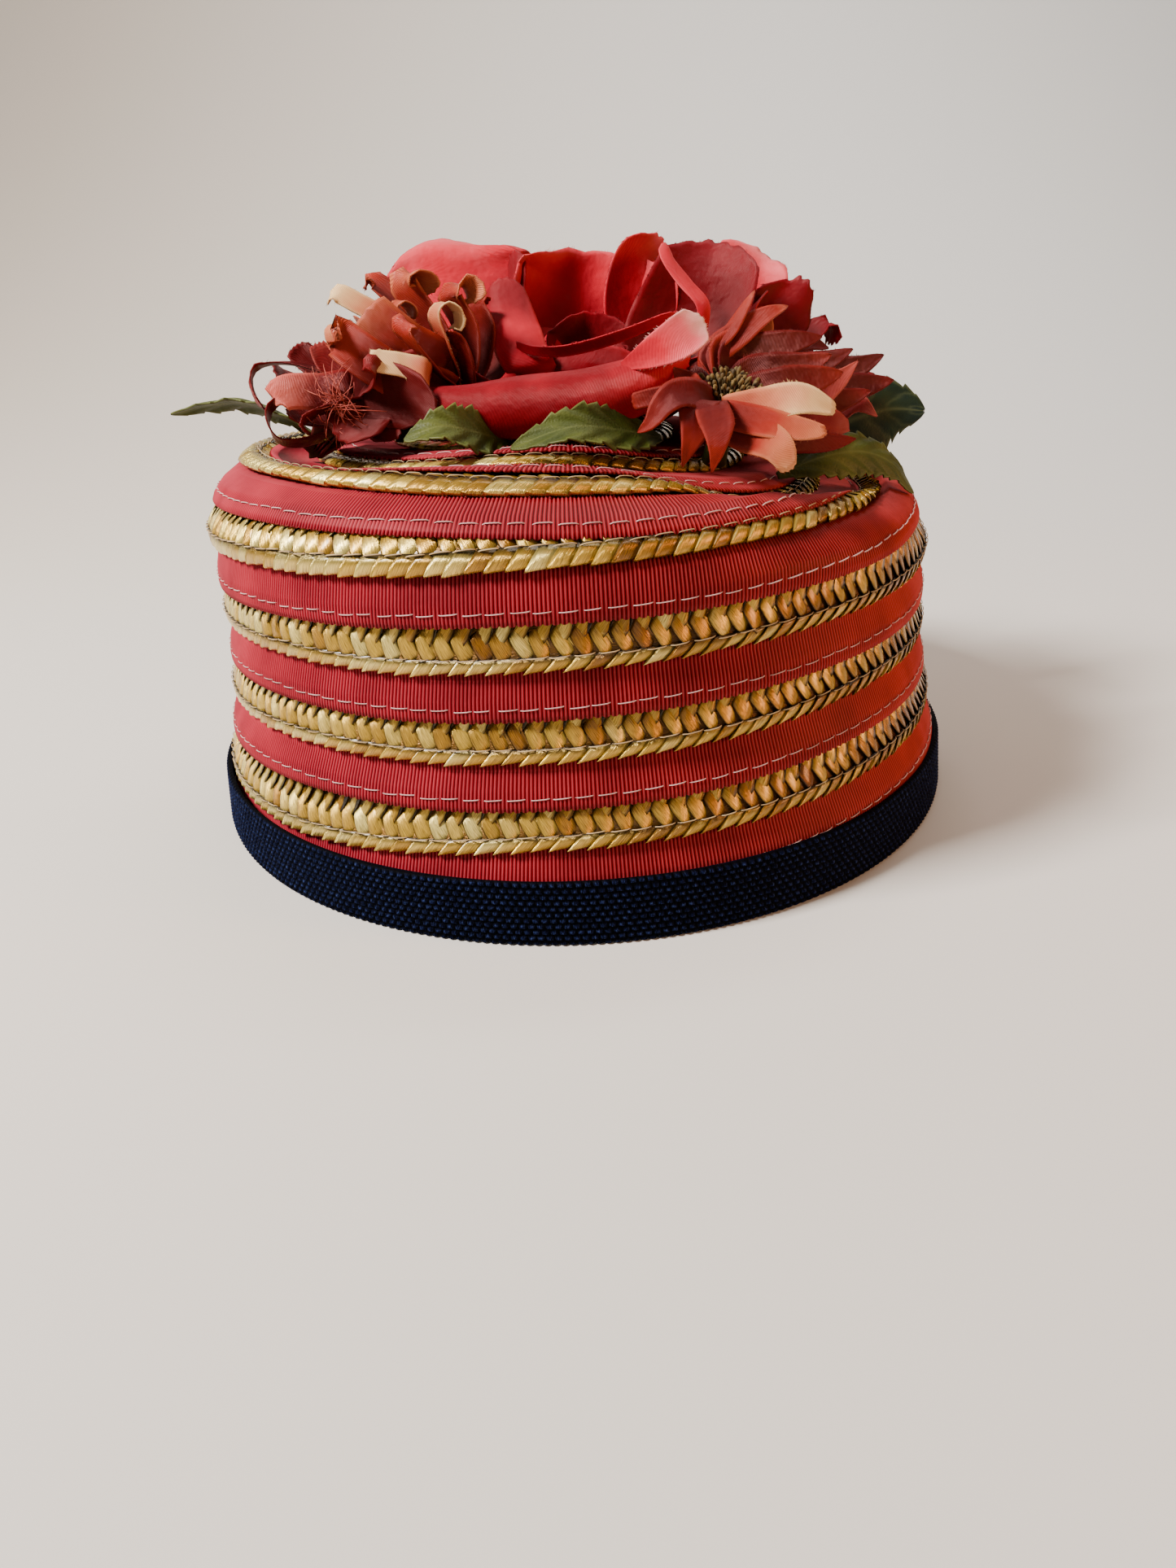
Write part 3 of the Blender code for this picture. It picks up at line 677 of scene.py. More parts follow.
def straw_piece(name, *parts):
    """Plaits of the braid in one mesh: blocks of unlike grids, with one flat face under each grid."""
    made, caps, total = [], [], 0
    for (along, across, lift, u, v), stretch, darkness, pale in parts:
        count, rows, columns = along.shape
        grid = np.arange(rows * columns).reshape(rows, columns)
        border = np.concatenate([grid[0], grid[1:, -1], grid[-1, -2::-1], grid[-2:0:-1, 0]])
        starts = np.arange(count)[:, None] * rows * columns + total
        caps += (starts + border[::-1]).tolist()
        uv = straw_uv(u, v, along.shape, *stretch)
        tint = np.clip(STRAW_TINT + pale + scattered(count, TINT_SPREAD), 0, 1) + 0 * along
        # Painted shade, strongest at the ends and sides of each piece, where it passes under the next one.
        painted_gap_shade = np.maximum(np.abs(2 * u - 1) ** 5, np.abs(v) ** 4) * darkness + 0 * along
        made.append((braid.at(along, across, lift).reshape(-1, 3), blocks(count, rows, columns) + total,
                     uv.reshape(-1, 2), tint.ravel(), painted_gap_shade.ravel()))
        total += count * rows * columns
    points, quads, uv, tint, painted_gap_shade = map(np.concatenate, zip(*made))
    return make_piece(name, points, quads, gold_straw, uv, {"tint": tint, "painted_gap_shade": painted_gap_shade}, caps)


def straw_bed():
    """The strands that lie below: a plain closed strip a little inside the plaits."""
    columns = int(braid.length / BED_STEP)
    along = np.linspace(END_GAP, braid.length - END_GAP, columns)[:, None]
    across = np.array([0.55, 3.0, 9.9, 9.9, 0.55])
    lift = braid.deep + np.array([-0.75, -0.55, -0.75, -1.5, -1.5])
    points = braid.at(along, across, lift + 0 * along)
    uv = together(along, across)
    # The bed under the plaits is painted half in shade.
    marks = {"tint": np.full(uv[..., 0].shape, 0.2), "painted_gap_shade": np.full(uv[..., 0].shape, 0.5)}
    faces, ends = tubes(points[None], flip=True)
    return make_piece("straw_bed", points, faces, gold_straw, uv, marks, ends)


tip_sides = np.linspace(-1, 1, TIP_SHAPE[1])
straw_leaves = straw_piece("straw", (plaits("leaf", LEAF_SHAPE, leaf_sides, 1), (6.0, 1.6), 1.0, 0.08),
                           (plaits("tip", TIP_SHAPE, tip_sides, -1), (4.5, 1.3), 0.9, 0.1))
dress(straw_leaves, "gold_straw", "braid_coil")
dress(straw_piece("straw_edge", (edge_folds(), (4.5, 3.5), 1.0, 0.15)), "gold_straw")
dress(straw_bed(), "gold_straw")

# %% [markdown]
# The machine stitches
#
# Each strip is sewn down a little above its lower edge, in stitches of about 4 mm. Every stitch is a short
# tube that rises out of the cloth, runs slightly uphill and dives back in. A curve with a bevel would do for
# one, but well over a thousand are quicker as one array of rings.

# %% Finish of the thread
def thread_finish(name, colour):
    """Matt twisted thread, a little darker where it is soiled."""
    finish, tree, shader = new_finish(name, Roughness=0.75)
    soil = ramp_of(tree, noise_of(tree, place_of(tree), 260, 2), (0.3, (0.66, 0.60, 0.55)), (0.6, (1, 1, 1)))
    paint(tree, shader, times(tree, colour, soil))
    return finish


pink_thread = thread_finish("pink_thread", (0.62, 0.36, 0.34))
straw_thread = thread_finish("straw_thread", (0.44, 0.30, 0.15))

# %% The stitches
STITCH_PITCH = 4.2
STITCH_SHARE = 0.90
STITCH_CLIMB, STITCH_RISE, STITCH_SUNK = 0.22, 0.5, 0.4
THREAD_RADIUS = 0.10
THREAD_SIDES = 5
STITCH_POINTS = 6


def stitches(name, strip, across, lift, finish):
    """A row of stitches. u runs along the stitch, and the ring's angle round it.

    Its height is a fourth root of a sine, which is flat on top and steep at the ends.
    """
    count = int(strip.length / STITCH_PITCH)
    start = np.arange(count)[:, None, None] * STITCH_PITCH + 1.0 + scattered(count, 0.12)
    u = np.linspace(0, 1, STITCH_POINTS)[None, :, None]
    turn = around(THREAD_SIDES)[None, None, :]
    long = STITCH_PITCH * STITCH_SHARE * (1 + scattered(count, 0.04))
    sewn = across + scattered(count, 0.10) + STITCH_CLIMB * (u - 0.5)
    height = lift - STITCH_SUNK + STITCH_RISE * np.sin(math.pi * u) ** 0.25
    across, lift = sewn + THREAD_RADIUS * np.cos(turn), height + THREAD_RADIUS * np.sin(turn)
    points = strip.at(start + long * u, across, lift)
    faces, caps = tubes(points, flip=True)
    return make_piece(name, points, faces, finish, caps=caps)


dress(stitches("ribbon_stitches", ribbon, 2.4, ribbon.deep + 0.12, pink_thread), "red_grosgrain")
dress(stitches("straw_stitches", braid, 3.0, braid.deep + 0.42, straw_thread), "gold_straw")

# %% [markdown]
# The head band
#
# The navy ribbon is a firm basket weave folded over the bottom edge, and it stands out a little from the
# crown. It is a closed profile carried round the oval: down the outside, round the fold and up the inside.
# On the outside the weave is modelled as rows of small pillows, set off by half from row to row.

# %% Finish of the band
def navy():
    """Nearly black wool blue, painted shade between the weave's pillows, and paler fibres painted as glints.
    """
    finish, tree, shader = new_finish("navy_braid", Roughness=0.70, Specular_IOR_Level=0.04)
    # Painted glints: the paler streaks of the fibres.
    threads = noise_of(tree, uv_of(tree), 1.0, 3, (4, 1.6, 1))
    yarn = ramp_of(tree, threads, (0.34, (0.0004, 0.0008, 0.0050)), (0.52, (0.0034, 0.0062, 0.034)),
                   (0.64, (0.024, 0.038, 0.120)))
    # Painted shade: the weave is painted nearly black in the hollows between the pillows.
    full = math_of(tree, "POWER", mark(tree, "pillow"), 2.5)
    paint(tree, shader, blend_of(tree, full, (0.0001, 0.0001, 0.0005), yarn), bump_of(tree, threads, 0.00015))
    return finish


navy_braid = navy()

# %% The band
YARN_WIDE = 1.75
YARN_COLUMNS, YARN_ROWS = 4, 3
YARN_RISE = 0.70
BAND_ROWS = 31
STRAY_ROWS = 4
ROW_STEP = 0.42
BAND_FOLD = 1.1
BAND_INSIDE = 12.0


def leaning(up):
    """How far the crown's wall stands in from its foot at each height. The band leans on it."""
    return (np.interp(up / CROWN_HEIGHT, WALL[:, 0], WALL[:, 1]) - 1) * WALL_RADIUS


def band_section():
    """Offsets from the bottom of the outer face: out and up, with how much of the weave shows at each."""
    up = np.linspace(BAND_HEIGHT, BAND_FOLD, BAND_ROWS)
    turn = np.linspace(0, math.pi / 2, 4)[1:]
    outer = together(leaning(up), up, 1)
    fold = together(BAND_FOLD * (np.cos(turn) - 1), BAND_FOLD * (1 - np.sin(turn)), 0.6)
    return np.concatenate([outer, fold])


def band_piece():
    """Outer face and fold with the weave, then the inner leg and the way back up between the two.

    A pillow is a power of a sine round the band, low on every third row, which the next two stand out from.
    """
    columns = int(2 * math.pi * BAND_RADIUS * (1 + PLAN_RATIO) / 2 / YARN_WIDE) * YARN_COLUMNS
    angle = around(columns)[:, None]
    foot = WALL_RADIUS - GAP - BAND_RADIUS
    top = foot + leaning(BAND_INSIDE)
    plain = np.array([
        (foot - BAND_THICKNESS + 0.5, 0.0), (foot - BAND_THICKNESS, 0.6), (top - BAND_THICKNESS, BAND_INSIDE),
        (top, BAND_INSIDE), (foot, BAND_THICKNESS), (-BAND_THICKNESS, BAND_THICKNESS),
        (leaning(BAND_HEIGHT) - BAND_THICKNESS, BAND_HEIGHT - 0.2),
    ])
    section = np.concatenate([band_section(), together(*plain.T, 0)])
    out, up, shown = section.T[:, None, :]
    row = np.arange(len(section))[None, :]
    yarn = np.arange(columns)[:, None] / YARN_COLUMNS + 0.5 * (row // YARN_ROWS)
    pillow = np.abs(np.sin(math.pi * yarn)) ** 0.7 * np.where(row % YARN_ROWS == 0, 0.25, 1.0)
    strays = 0.18 * np.sin(7 * angle) + 0.12 * np.sin(17 * angle + 1)
    radius = BAND_RADIUS + out + YARN_RISE * (pillow - 0.8) * shown
    height = up + strays * (row < STRAY_ROWS) * shown
    points = together(radius * np.cos(angle), radius * PLAN_RATIO * np.sin(angle), height)
    uv = together(angle * BAND_RADIUS, ROW_STEP * (row + 1))
    marks = {"pillow": np.clip(pillow * shown + (1 - shown) * 0.6, 0, 1) + 0 * radius}
    faces = blocks(1, columns, len(section), ring=True)
    index = np.arange(columns * len(section)).reshape(columns, len(section))
    last, first = index[-1], index[0]
    seam = np.stack([last, np.roll(last, -1), np.roll(first, -1), first], axis=-1)
    return make_piece("band", points, np.concatenate([faces, seam]), navy_braid, uv, marks)


band_sheet = dress(band_piece(), "navy_braid", "head_band")

# %% [markdown]
# Petals
#
# A silk petal is cut flat, stamped hot and curled with an iron. So it is a strip round a middle line: a
# smooth curve through a few knots in space, with a direction across it at the root and at the tip. Across,
# it is an arc. A petal is then a function of t, along it, and s, from edge to edge, with one row of a table
# for each. The cut edge frays, the satin has fine ribs, and the dye runs out towards the edge, so each point
# carries how near the edge it is and how pale its petal is there. That paleness is partly the dye and partly
# painted light: paler where a petal catches the light, darker where it lies in shade.

# %% Finish of the silk
DYE_STOPS = (0.05, 0.32, 0.56, 0.78, 1.0)


def silk(name, *dyes):
    """Satin with fine ribs, from deep to cream as its tone rises, and paler at the cut edge.

    The tone is partly dye and partly painted light, and the ribs carry painted shade and highlights.
    """
    finish, tree, shader = new_finish(name, Roughness=0.44, Specular_IOR_Level=0.30,
                                      Specular_Tint=(1.0, 0.35, 0.32, 1))
    uv = uv_of(tree)
    cloudy = math_of(tree, "MULTIPLY_ADD", noise_of(tree, place_of(tree), 90, 3), 0.30, -0.15)
    edge = math_of(tree, "MULTIPLY_ADD", mark(tree, "rim"), 0.16, cloudy)
    # The tone is partly the dye and partly painted light, set petal by petal.
    tone = math_of(tree, "ADD", edge, mark(tree, "tone"))
    dye = ramp_of(tree, tone, *zip(DYE_STOPS, dyes))
    turned = add(tree, "Mapping", {"Vector": uv, "Rotation": (0, 0, 0.35)}).outputs[0]
    wave = add(tree, "TexWave", {"Vector": turned, "Scale": 1.5, "Distortion": 0.6, "Detail": 1.0})
    ribs = wave.outputs["Fac"]
    # Painted shade between the satin's ribs and painted highlights on them.
    shaded = ramp_of(tree, ribs, (0.0, (0.70, 0.66, 0.66)), (0.8, (1.12, 1.12, 1.12)))
    creased = bump_of(tree, noise_of(tree, uv, 0.30, 2), 0.0007, 0.6)
    paint(tree, shader, times(tree, dye, shaded), bump_of(tree, ribs, 0.00005, 1.0, creased))
    return finish


rose_silk = silk("rose_silk", (0.060, 0.0004, 0.0014), (0.20, 0.0026, 0.0085), (0.60, 0.012, 0.030),
                 (0.86, 0.13, 0.15), (0.90, 0.50, 0.42))
coral_silk = silk("coral_silk", (0.022, 0.0006, 0.0006), (0.095, 0.0022, 0.0022), (0.29, 0.022, 0.012),
                  (0.56, 0.17, 0.075), (0.82, 0.53, 0.24))
dark_silk = silk("dark_silk", (0.014, 0.0001, 0.0004), (0.055, 0.0005, 0.0012), (0.17, 0.006, 0.007),
                 (0.55, 0.11, 0.08), (0.80, 0.36, 0.24))

# %% Where each flower stands
CALYX_RADIUS = 6.0
ROOT_DEPTH = 2.5
FLOWERS = {
    # x and y of the foot as shares of the wall's radius and depth, size, stem as a share of it, lean, towards
    "rose": (0.04, -0.047, 50.0, 0.11, 0, 0),
    "carnation": (-0.402, -0.254, 31.0, 0.30, 2, 240),
    "pink": (-0.635, -0.221, 26.0, 0.14, 14, 205),
    "daisy": (0.36, -0.528, 23.0, 0.58, 30, 285),
    "aster": (0.59, -0.160, 30.0, 0.45, 10, 345),
}


def points_of(node):
    """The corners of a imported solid, in millimetres."""
    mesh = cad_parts[node].data
    corners = np.zeros(len(mesh.vertices) * 3)
    mesh.vertices.foreach_get("co", corners)
    return corners.reshape(-1, 3) / MM


def foot_of(node, x, y, reach):
    """The lowest corner of a solid within reach of an upright line."""
    corners = points_of(node)
    near = np.hypot(corners[:, 0] - x, corners[:, 1] - y) < reach
    return corners[near, 2].min()


def stand(name):
    """The matrix that puts a flower's petals at the top of its stem, leaning."""
    x, y, size, stem, lean, towards = FLOWERS[name]
    x, y = x * WALL_RADIUS, y * WALL_DEPTH
    top = foot_of(name, x, y, CALYX_RADIUS * 1.05) + stem * size
    turn = math.radians(towards)
    tilt = Matrix.Rotation(math.radians(lean), 4, Vector((-math.sin(turn), math.cos(turn), 0)))
    return np.array(Matrix.Translation((x, y, top - ROOT_DEPTH)) @ tilt)


# %% The outline and the middle line of a petal
PATH_POINTS = 161
OUTLINES = {
    # where it is widest, width at the root and at the tip, power of the curve between, rounding of the tip
    "round": (0.62, 0.30, 0.66, 2.0, 0.13),
    "strap": (0.60, 0.62, 0.90, 2.0, 0.03),
    "flap": (0.50, 0.70, 0.70, 2.0, 0.10),
    "point": (0.55, 0.35, 0.04, 1.4, 0.00),
    "kite": (0.68, 0.40, 0.03, 1.0, 0.00),
    "roll": (0.42, 0.45, 0.30, 2.4, 0.06),
    "dome": (0.60, 0.30, 0.52, 2.0, 0.20),
    "tongue": (0.70, 0.20, 0.75, 2.0, 0.13),
    "blunt": (0.62, 0.40, 0.32, 1.6, 0.02),
    "wall": (0.55, 0.55, 0.85, 2.0, 0.10),
    "leaf": (0.42, 0.12, 0.03, 1.5, 0.00),
}


def half_width(outline, t):
    """Half the width as a share: a sine up to the widest place, then one less a power, as an ellipse has."""
    widest, neck, tip, power = OUTLINES[outline][:4]
    past = np.clip((t - widest) / (1 - widest), 0, 1)
    before = neck + (1 - neck) * np.sin(math.pi / 2 * np.minimum(t / widest, 1))
    return np.where(t < widest, before, (1 - past**power * (1 - tip**power)) ** (1 / power))


def spline(knots, share):
    """A smooth curve through knots, which continues straight on at either end."""
    knots = np.asarray(knots, float)
    padded = np.concatenate([[2 * knots[0] - knots[1]], knots, [2 * knots[-1] - knots[-2]]])
    place = share * (len(knots) - 1)
    number = np.minimum(place.astype(int), len(knots) - 2)
    return cubic(*(padded[number + k] for k in range(4)), (place - number)[:, None])


def unit(vectors):
    """Vectors of length one."""
    return vectors / np.linalg.norm(vectors, axis=-1, keepdims=True)


# %% One petal
NICK = 0.012
AREA_STEPS = 60


def petal(row, along, across, phase):
    """Points for t from root to tip and s from edge to edge, with UV, rim, tone and the petal's flat size.

    The middle line is a spline through the row's knots. The direction across eases from the one at the root
    to the one at the tip, None if they are the same, and is kept square to the line. Across, the points lie
    on an arc of cup degrees towards the cross product of the line and the direction across, with a ruffle
    that grows towards edges and tip.
    """
    outline, width, cup, ruffle, tone_root, tone_tip, side_root, side_tip, *knots = row
    side_tip = side_tip or side_root
    path = spline(knots, np.linspace(0, 1, PATH_POINTS))
    run = run_along(path)
    length = run[-1]
    t = np.linspace(0, 1, along)[:, None]
    s = np.linspace(-1, 1, across)[None, :]
    t = t * (1 - OUTLINES[outline][4] * s**2 + NICK * np.cos(5 * math.pi * s + phase) * (1 - s**2))
    middle = read_at(t, run / length, path)
    ahead = unit(read_at(t, run / length, unit(np.gradient(path, axis=0))))
    side = np.array(side_root) + smooth(t)[:, :, None] * (np.array(side_tip) - np.array(side_root))
    side = unit(side - (side * ahead).sum(axis=-1, keepdims=True) * ahead)
    normal = np.cross(ahead, side)
    half = half_width(outline, t) * width / 2
    arc = math.radians(cup) / 2 + 0.0001
    sideways = np.sin(arc * s) / arc * half
    waves = np.sin(2 * math.pi * 1.6 * t + phase + 1.9 * (s > 0)) * np.abs(s) ** 1.6 * t
    waves = waves + 0.8 * np.sin(4.4 * s + phase * 1.7) * t**5
    raised = (1 - np.cos(arc * s)) / arc * half + ruffle * half * waves
    points = middle + side * sideways[:, :, None] + normal * raised[:, :, None]
    rim = np.maximum(np.abs(s) ** 4 * np.minimum(3 * t, 1), t**6) + 0 * t
    tone = tone_root + (tone_tip - tone_root) * smooth(t * 1.4 - 0.4) + 0 * s
    uv = together(t * length, s * half)
    area = length * width * half_width(outline, np.linspace(0, 1, AREA_STEPS)).mean()
    return points, uv, rim, tone, (length, width, area)


# %% Frayed edges
def fray(edges, normals, outward, length, dense):
    """Loose threads on a cut edge: three-sided spikes that start on it and point out, somewhat astray."""
    run = run_along(edges)
    count = int(run[-1] * dense)
    place = np.sort(chance.uniform(0, run[-1], count))
    root, out, up = (read_at(place, run, rows) for rows in (edges, outward, normals))
    stray = chance.normal(0, 0.35, (count, 3))
    tuft = 0.35 + 0.65 * np.abs(np.sin(place * 0.43) * np.sin(place * 0.17 + 1))
    tips = root + (out + stray) * (length * tuft * chance.uniform(0.3, 1.3, count))[:, None]
    side = np.cross(out, up)
    corners = [root - out * 0.2 + side * 0.08, root - out * 0.2 - side * 0.08, root - out * 0.2 + up * 0.12]
    points = np.stack([*corners, tips], axis=1)
    base = np.arange(count)[:, None] * 4
    faces = np.concatenate([base + np.array(face) for face in ((0, 1, 3), (1, 2, 3), (2, 0, 3), (2, 1, 0))])
    return points.reshape(-1, 3), faces


def border_of(points):
    """The cut edge, its normals and its outward direction, from one side of the root round to the other."""
    t_step, s_step = np.gradient(points, axis=0), np.gradient(points, axis=1)
    normals = np.cross(t_step, s_step)
    start = len(points) // 6
    walk = [(points[start:, 0], -s_step[start:, 0], normals[start:, 0]),
            (points[-1, 1:-1], t_step[-1, 1:-1], normals[-1, 1:-1]),
            (points[:start:-1, -1], s_step[:start:-1, -1], normals[:start:-1, -1])]
    edges, outward, normals = (np.concatenate(rows) for rows in zip(*walk))
    return edges, unit(normals), unit(outward)


# %% A flower of petals
FRAY_DENSITY = 3.0
PETAL_WALL = 0.0003
PETAL_APART = 90.0
TURNED = ("flap", "roll", "tongue")


def flower(name, rows, finish, slot, shape_points, thread_length):
    """A flower's petals in one mesh, and the frayed threads of all their edges in another.

    A petal starts at the flower's root, apart from those that only show a turned edge. Each petal's UV is set
    apart from the others, so that no two share their creases.
    """
    root = tuple(stand(name)[:3, 3])
    made, total = [], 0
    for number, row in enumerate(rows):
        knots = row[8:] if row[0] in TURNED else (root, *row[8:])
        points, uv, rim, tone, size = petal((*row[:8], *knots), *shape_points, phase=number * 2.1)
        uv = uv.reshape(-1, 2) + number * PETAL_APART
        threads, faces = fray(*border_of(points), thread_length, FRAY_DENSITY)
        made.append((points.reshape(-1, 3), uv, rim.ravel(), tone.ravel(), [size], threads, faces + total,
                     np.full(len(threads), row[5])))
        total += len(threads)
    points, uv, rim, tone, sizes, threads, thread_faces, pale = map(np.concatenate, zip(*made))
    piece = make_piece(name + "_petals", points, blocks(len(rows), *shape_points), finish, uv,
                       {"rim": rim, "tone": tone})
    thicken(piece, PETAL_WALL)
    dress(piece, slot, name)
    marks = {"rim": np.full(total, 0.5), "tone": pale}
    dress(make_piece(name + "_threads", threads, thread_faces, finish, np.zeros((total, 2)), marks), slot)


# %% [markdown]
# The table of petals
#
# Each row says which outline a petal has, its width, how far it cups, how much it ruffles, how pale it is
# at the root and at the tip, partly by its dye and partly as painted light, the direction across at both
# ends, and the knots of its middle line. The rose is a cup of broad petals with a long one rolled over in
# front. The two flowers on the left are bundles of looped straps, and the two on the right have pointed
# petals and a heart of stamens.

# %% The rose
rose_rows = (
    ("dome", 41, -50, 0.04, 0.46, 0.54, (-1, 0, 0), (-1, 0.1, 0.03), (-11.9, -2, 95.2), (-18.8, 8, 104.4),
     (-24.3, 13, 115), (-25.8, 16, 121.9), (-26.7, 24, 124.3)),
    ("flap", 6, -30, 0.03, 0.25, 0.2, (-0.6, 0.8, 0), (-0.8, 0.6, 0), (-13.1, 0, 100), (-10.8, 6, 109.3),
     (-9.6, 9, 116.9), (-9.7, 11, 120.6)),
    ("flap", 12, 20, 0.04, 0.2, 0.26, (-1, 0.2, 0), None, (-4.2, 14, 102.6), (-3.3, 22, 111.4),
     (-3.5, 27, 118.7)),
    ("wall", 48, 130, 0.06, 0.34, 0.5, (-1, 0, 0), (-1, 0, -0.28), (5.5, 0, 90.7), (7.4, 12, 100.3),
     (9.6, 16, 112.6), (10.7, 17, 119.9)),
    ("flap", 2.6, 10, 0.12, 0.3, 0.42, (0, -0.4, 0.9), None, (-9.5, -18, 101.6), (-5, -21, 100.4),
     (2, -22, 100.4), (13.4, -21, 102.8), (24.8, -18, 106.5)),
    ("flap", 12, -80, 0.05, 0.46, 0.22, (-1, 0, 0), (-1, 0.2, 0), (-4.2, -14, 92.9), (-7.4, -19, 98),
     (-9.8, -15, 104.5), (-11.8, -7, 111), (-12.6, -2, 115)),
    ("round", 13, 30, 0.05, 0.36, 0.52, (-1, -0.3, 0), (-1, -0.3, 0.3), (15, 4, 96.7), (16.1, 10, 108.8),
     (18.8, 12, 117.3), (24.7, 12, 121.8)),
    ("wall", 50, -150, 0.05, 0.3, 0.22, (-1, 0, 0.03), None, (7.4, -12, 87.8), (7.9, -19, 95),
     (8.3, -17, 100.8)),
    ("roll", 23, -215, 0.06, 0.28, 0.42, (0, 0.7, 0.7), (0, 0.6, 0.8), (-28.5, -38, 94.4),
     (-19.9, -43, 94.1), (-8.3, -46, 95), (4.3, -48, 95.7), (16.8, -47, 97.9), (24.4, -43, 100.3)),
    # The tongue's pale tone is a painted highlight along its ribs.
    ("tongue", 8, 25, 0.05, 0.46, 0.86, (-0.3, 0.4, 0.85), (-0.4, 0.3, 0.85), (11.4, -46, 98.1),
     (16.8, -48, 100.3), (22.2, -48, 102.7), (27.1, -44, 105.7)),
    ("round", 27, 70, 0.05, 0.08, 0.15, (-1, 0.3, 0.1), (-1, 0.2, 0.1), (19.7, -8, 91.2),
     (28.8, -1, 103.2), (34.3, 3, 113.9), (37.2, 8, 120.4)),
    ("flap", 4, -60, 0.02, 0.56, 0.5, (-0.9, -0.4, 0), (-0.9, -0.4, 0.2), (30.9, -13, 103.2),
     (31, -12, 108), (27.4, -10, 112.5), (24.1, -8, 117), (23.4, -5, 120.2)),
    ("round", 22, 30, 0.1, 0.24, 0.62, (-1, 0, 0.35), (-1, 0, 0.4), (34.9, 8, 98.3), (42.4, 15, 109.3),
     (47.6, 19, 115.8), (51.4, 25, 117.5)),
    ("round", 17, 30, 0.1, 0.06, 0.14, (-0.7, 0.2, 0.5), (-0.7, 0.2, 0.6), (35.7, 2, 94.1), (47, 8, 100.4),
     (55.3, 12, 107.8), (58.4, 14, 111.7)),
    ("strap", 6, 20, 0.05, 0.16, 0.2, (-0.4, 0.7, 0.5), None, (49.4, 4, 93.3), (58.6, 8, 99.5),
     (62.4, 9, 102.3), (64.2, 9, 99.9), (63.6, 9, 97)),
    ("round", 34, 60, 0.08, 0.25, 0.45, (-0.93, 0.37, 0), None, (12, 14, 92), (18, 26, 100), (21, 32, 111),
     (24, 36, 116)),
    ("round", 32, 60, 0.08, 0.22, 0.42, (-0.94, -0.34, 0), None, (-3, 14, 93), (-8, 26, 101),
     (-10, 32, 112), (-13, 36, 117)),
    ("round", 30, 60, 0.08, 0.18, 0.34, (-0.34, 0.94, 0), None, (22, 4, 92), (36, 8, 97), (43, 10, 105),
     (48, 12, 109)),
    ("round", 26, 50, 0.06, 0.12, 0.2, (0.42, 0.91, 0), None, (20, -14, 90), (32, -22, 92), (40, -27, 95)),
    ("round", 26, 50, 0.06, 0.12, 0.22, (0.42, -0.91, 0), None, (-12, -14, 90), (-22, -18, 94),
     (-29, -20, 100)),
    ("round", 30, 40, 0.06, 0.12, 0.2, (0.94, -0.34, 0), None, (-4, -22, 88), (-12, -36, 88),
     (-16, -43, 89)),
    ("round", 30, 40, 0.06, 0.12, 0.2, (0.94, 0.34, 0), None, (10, -22, 88), (17, -36, 90), (20, -42, 93)),
    ("round", 26, 140, 0.06, 0.12, 0.2, (-1, 0, 0), None, (5, 0, 92), (7, 4, 100), (8, 4, 107)),
)
flower("rose", rose_rows, rose_silk, "rose_silk", (37, 21), 0.7)

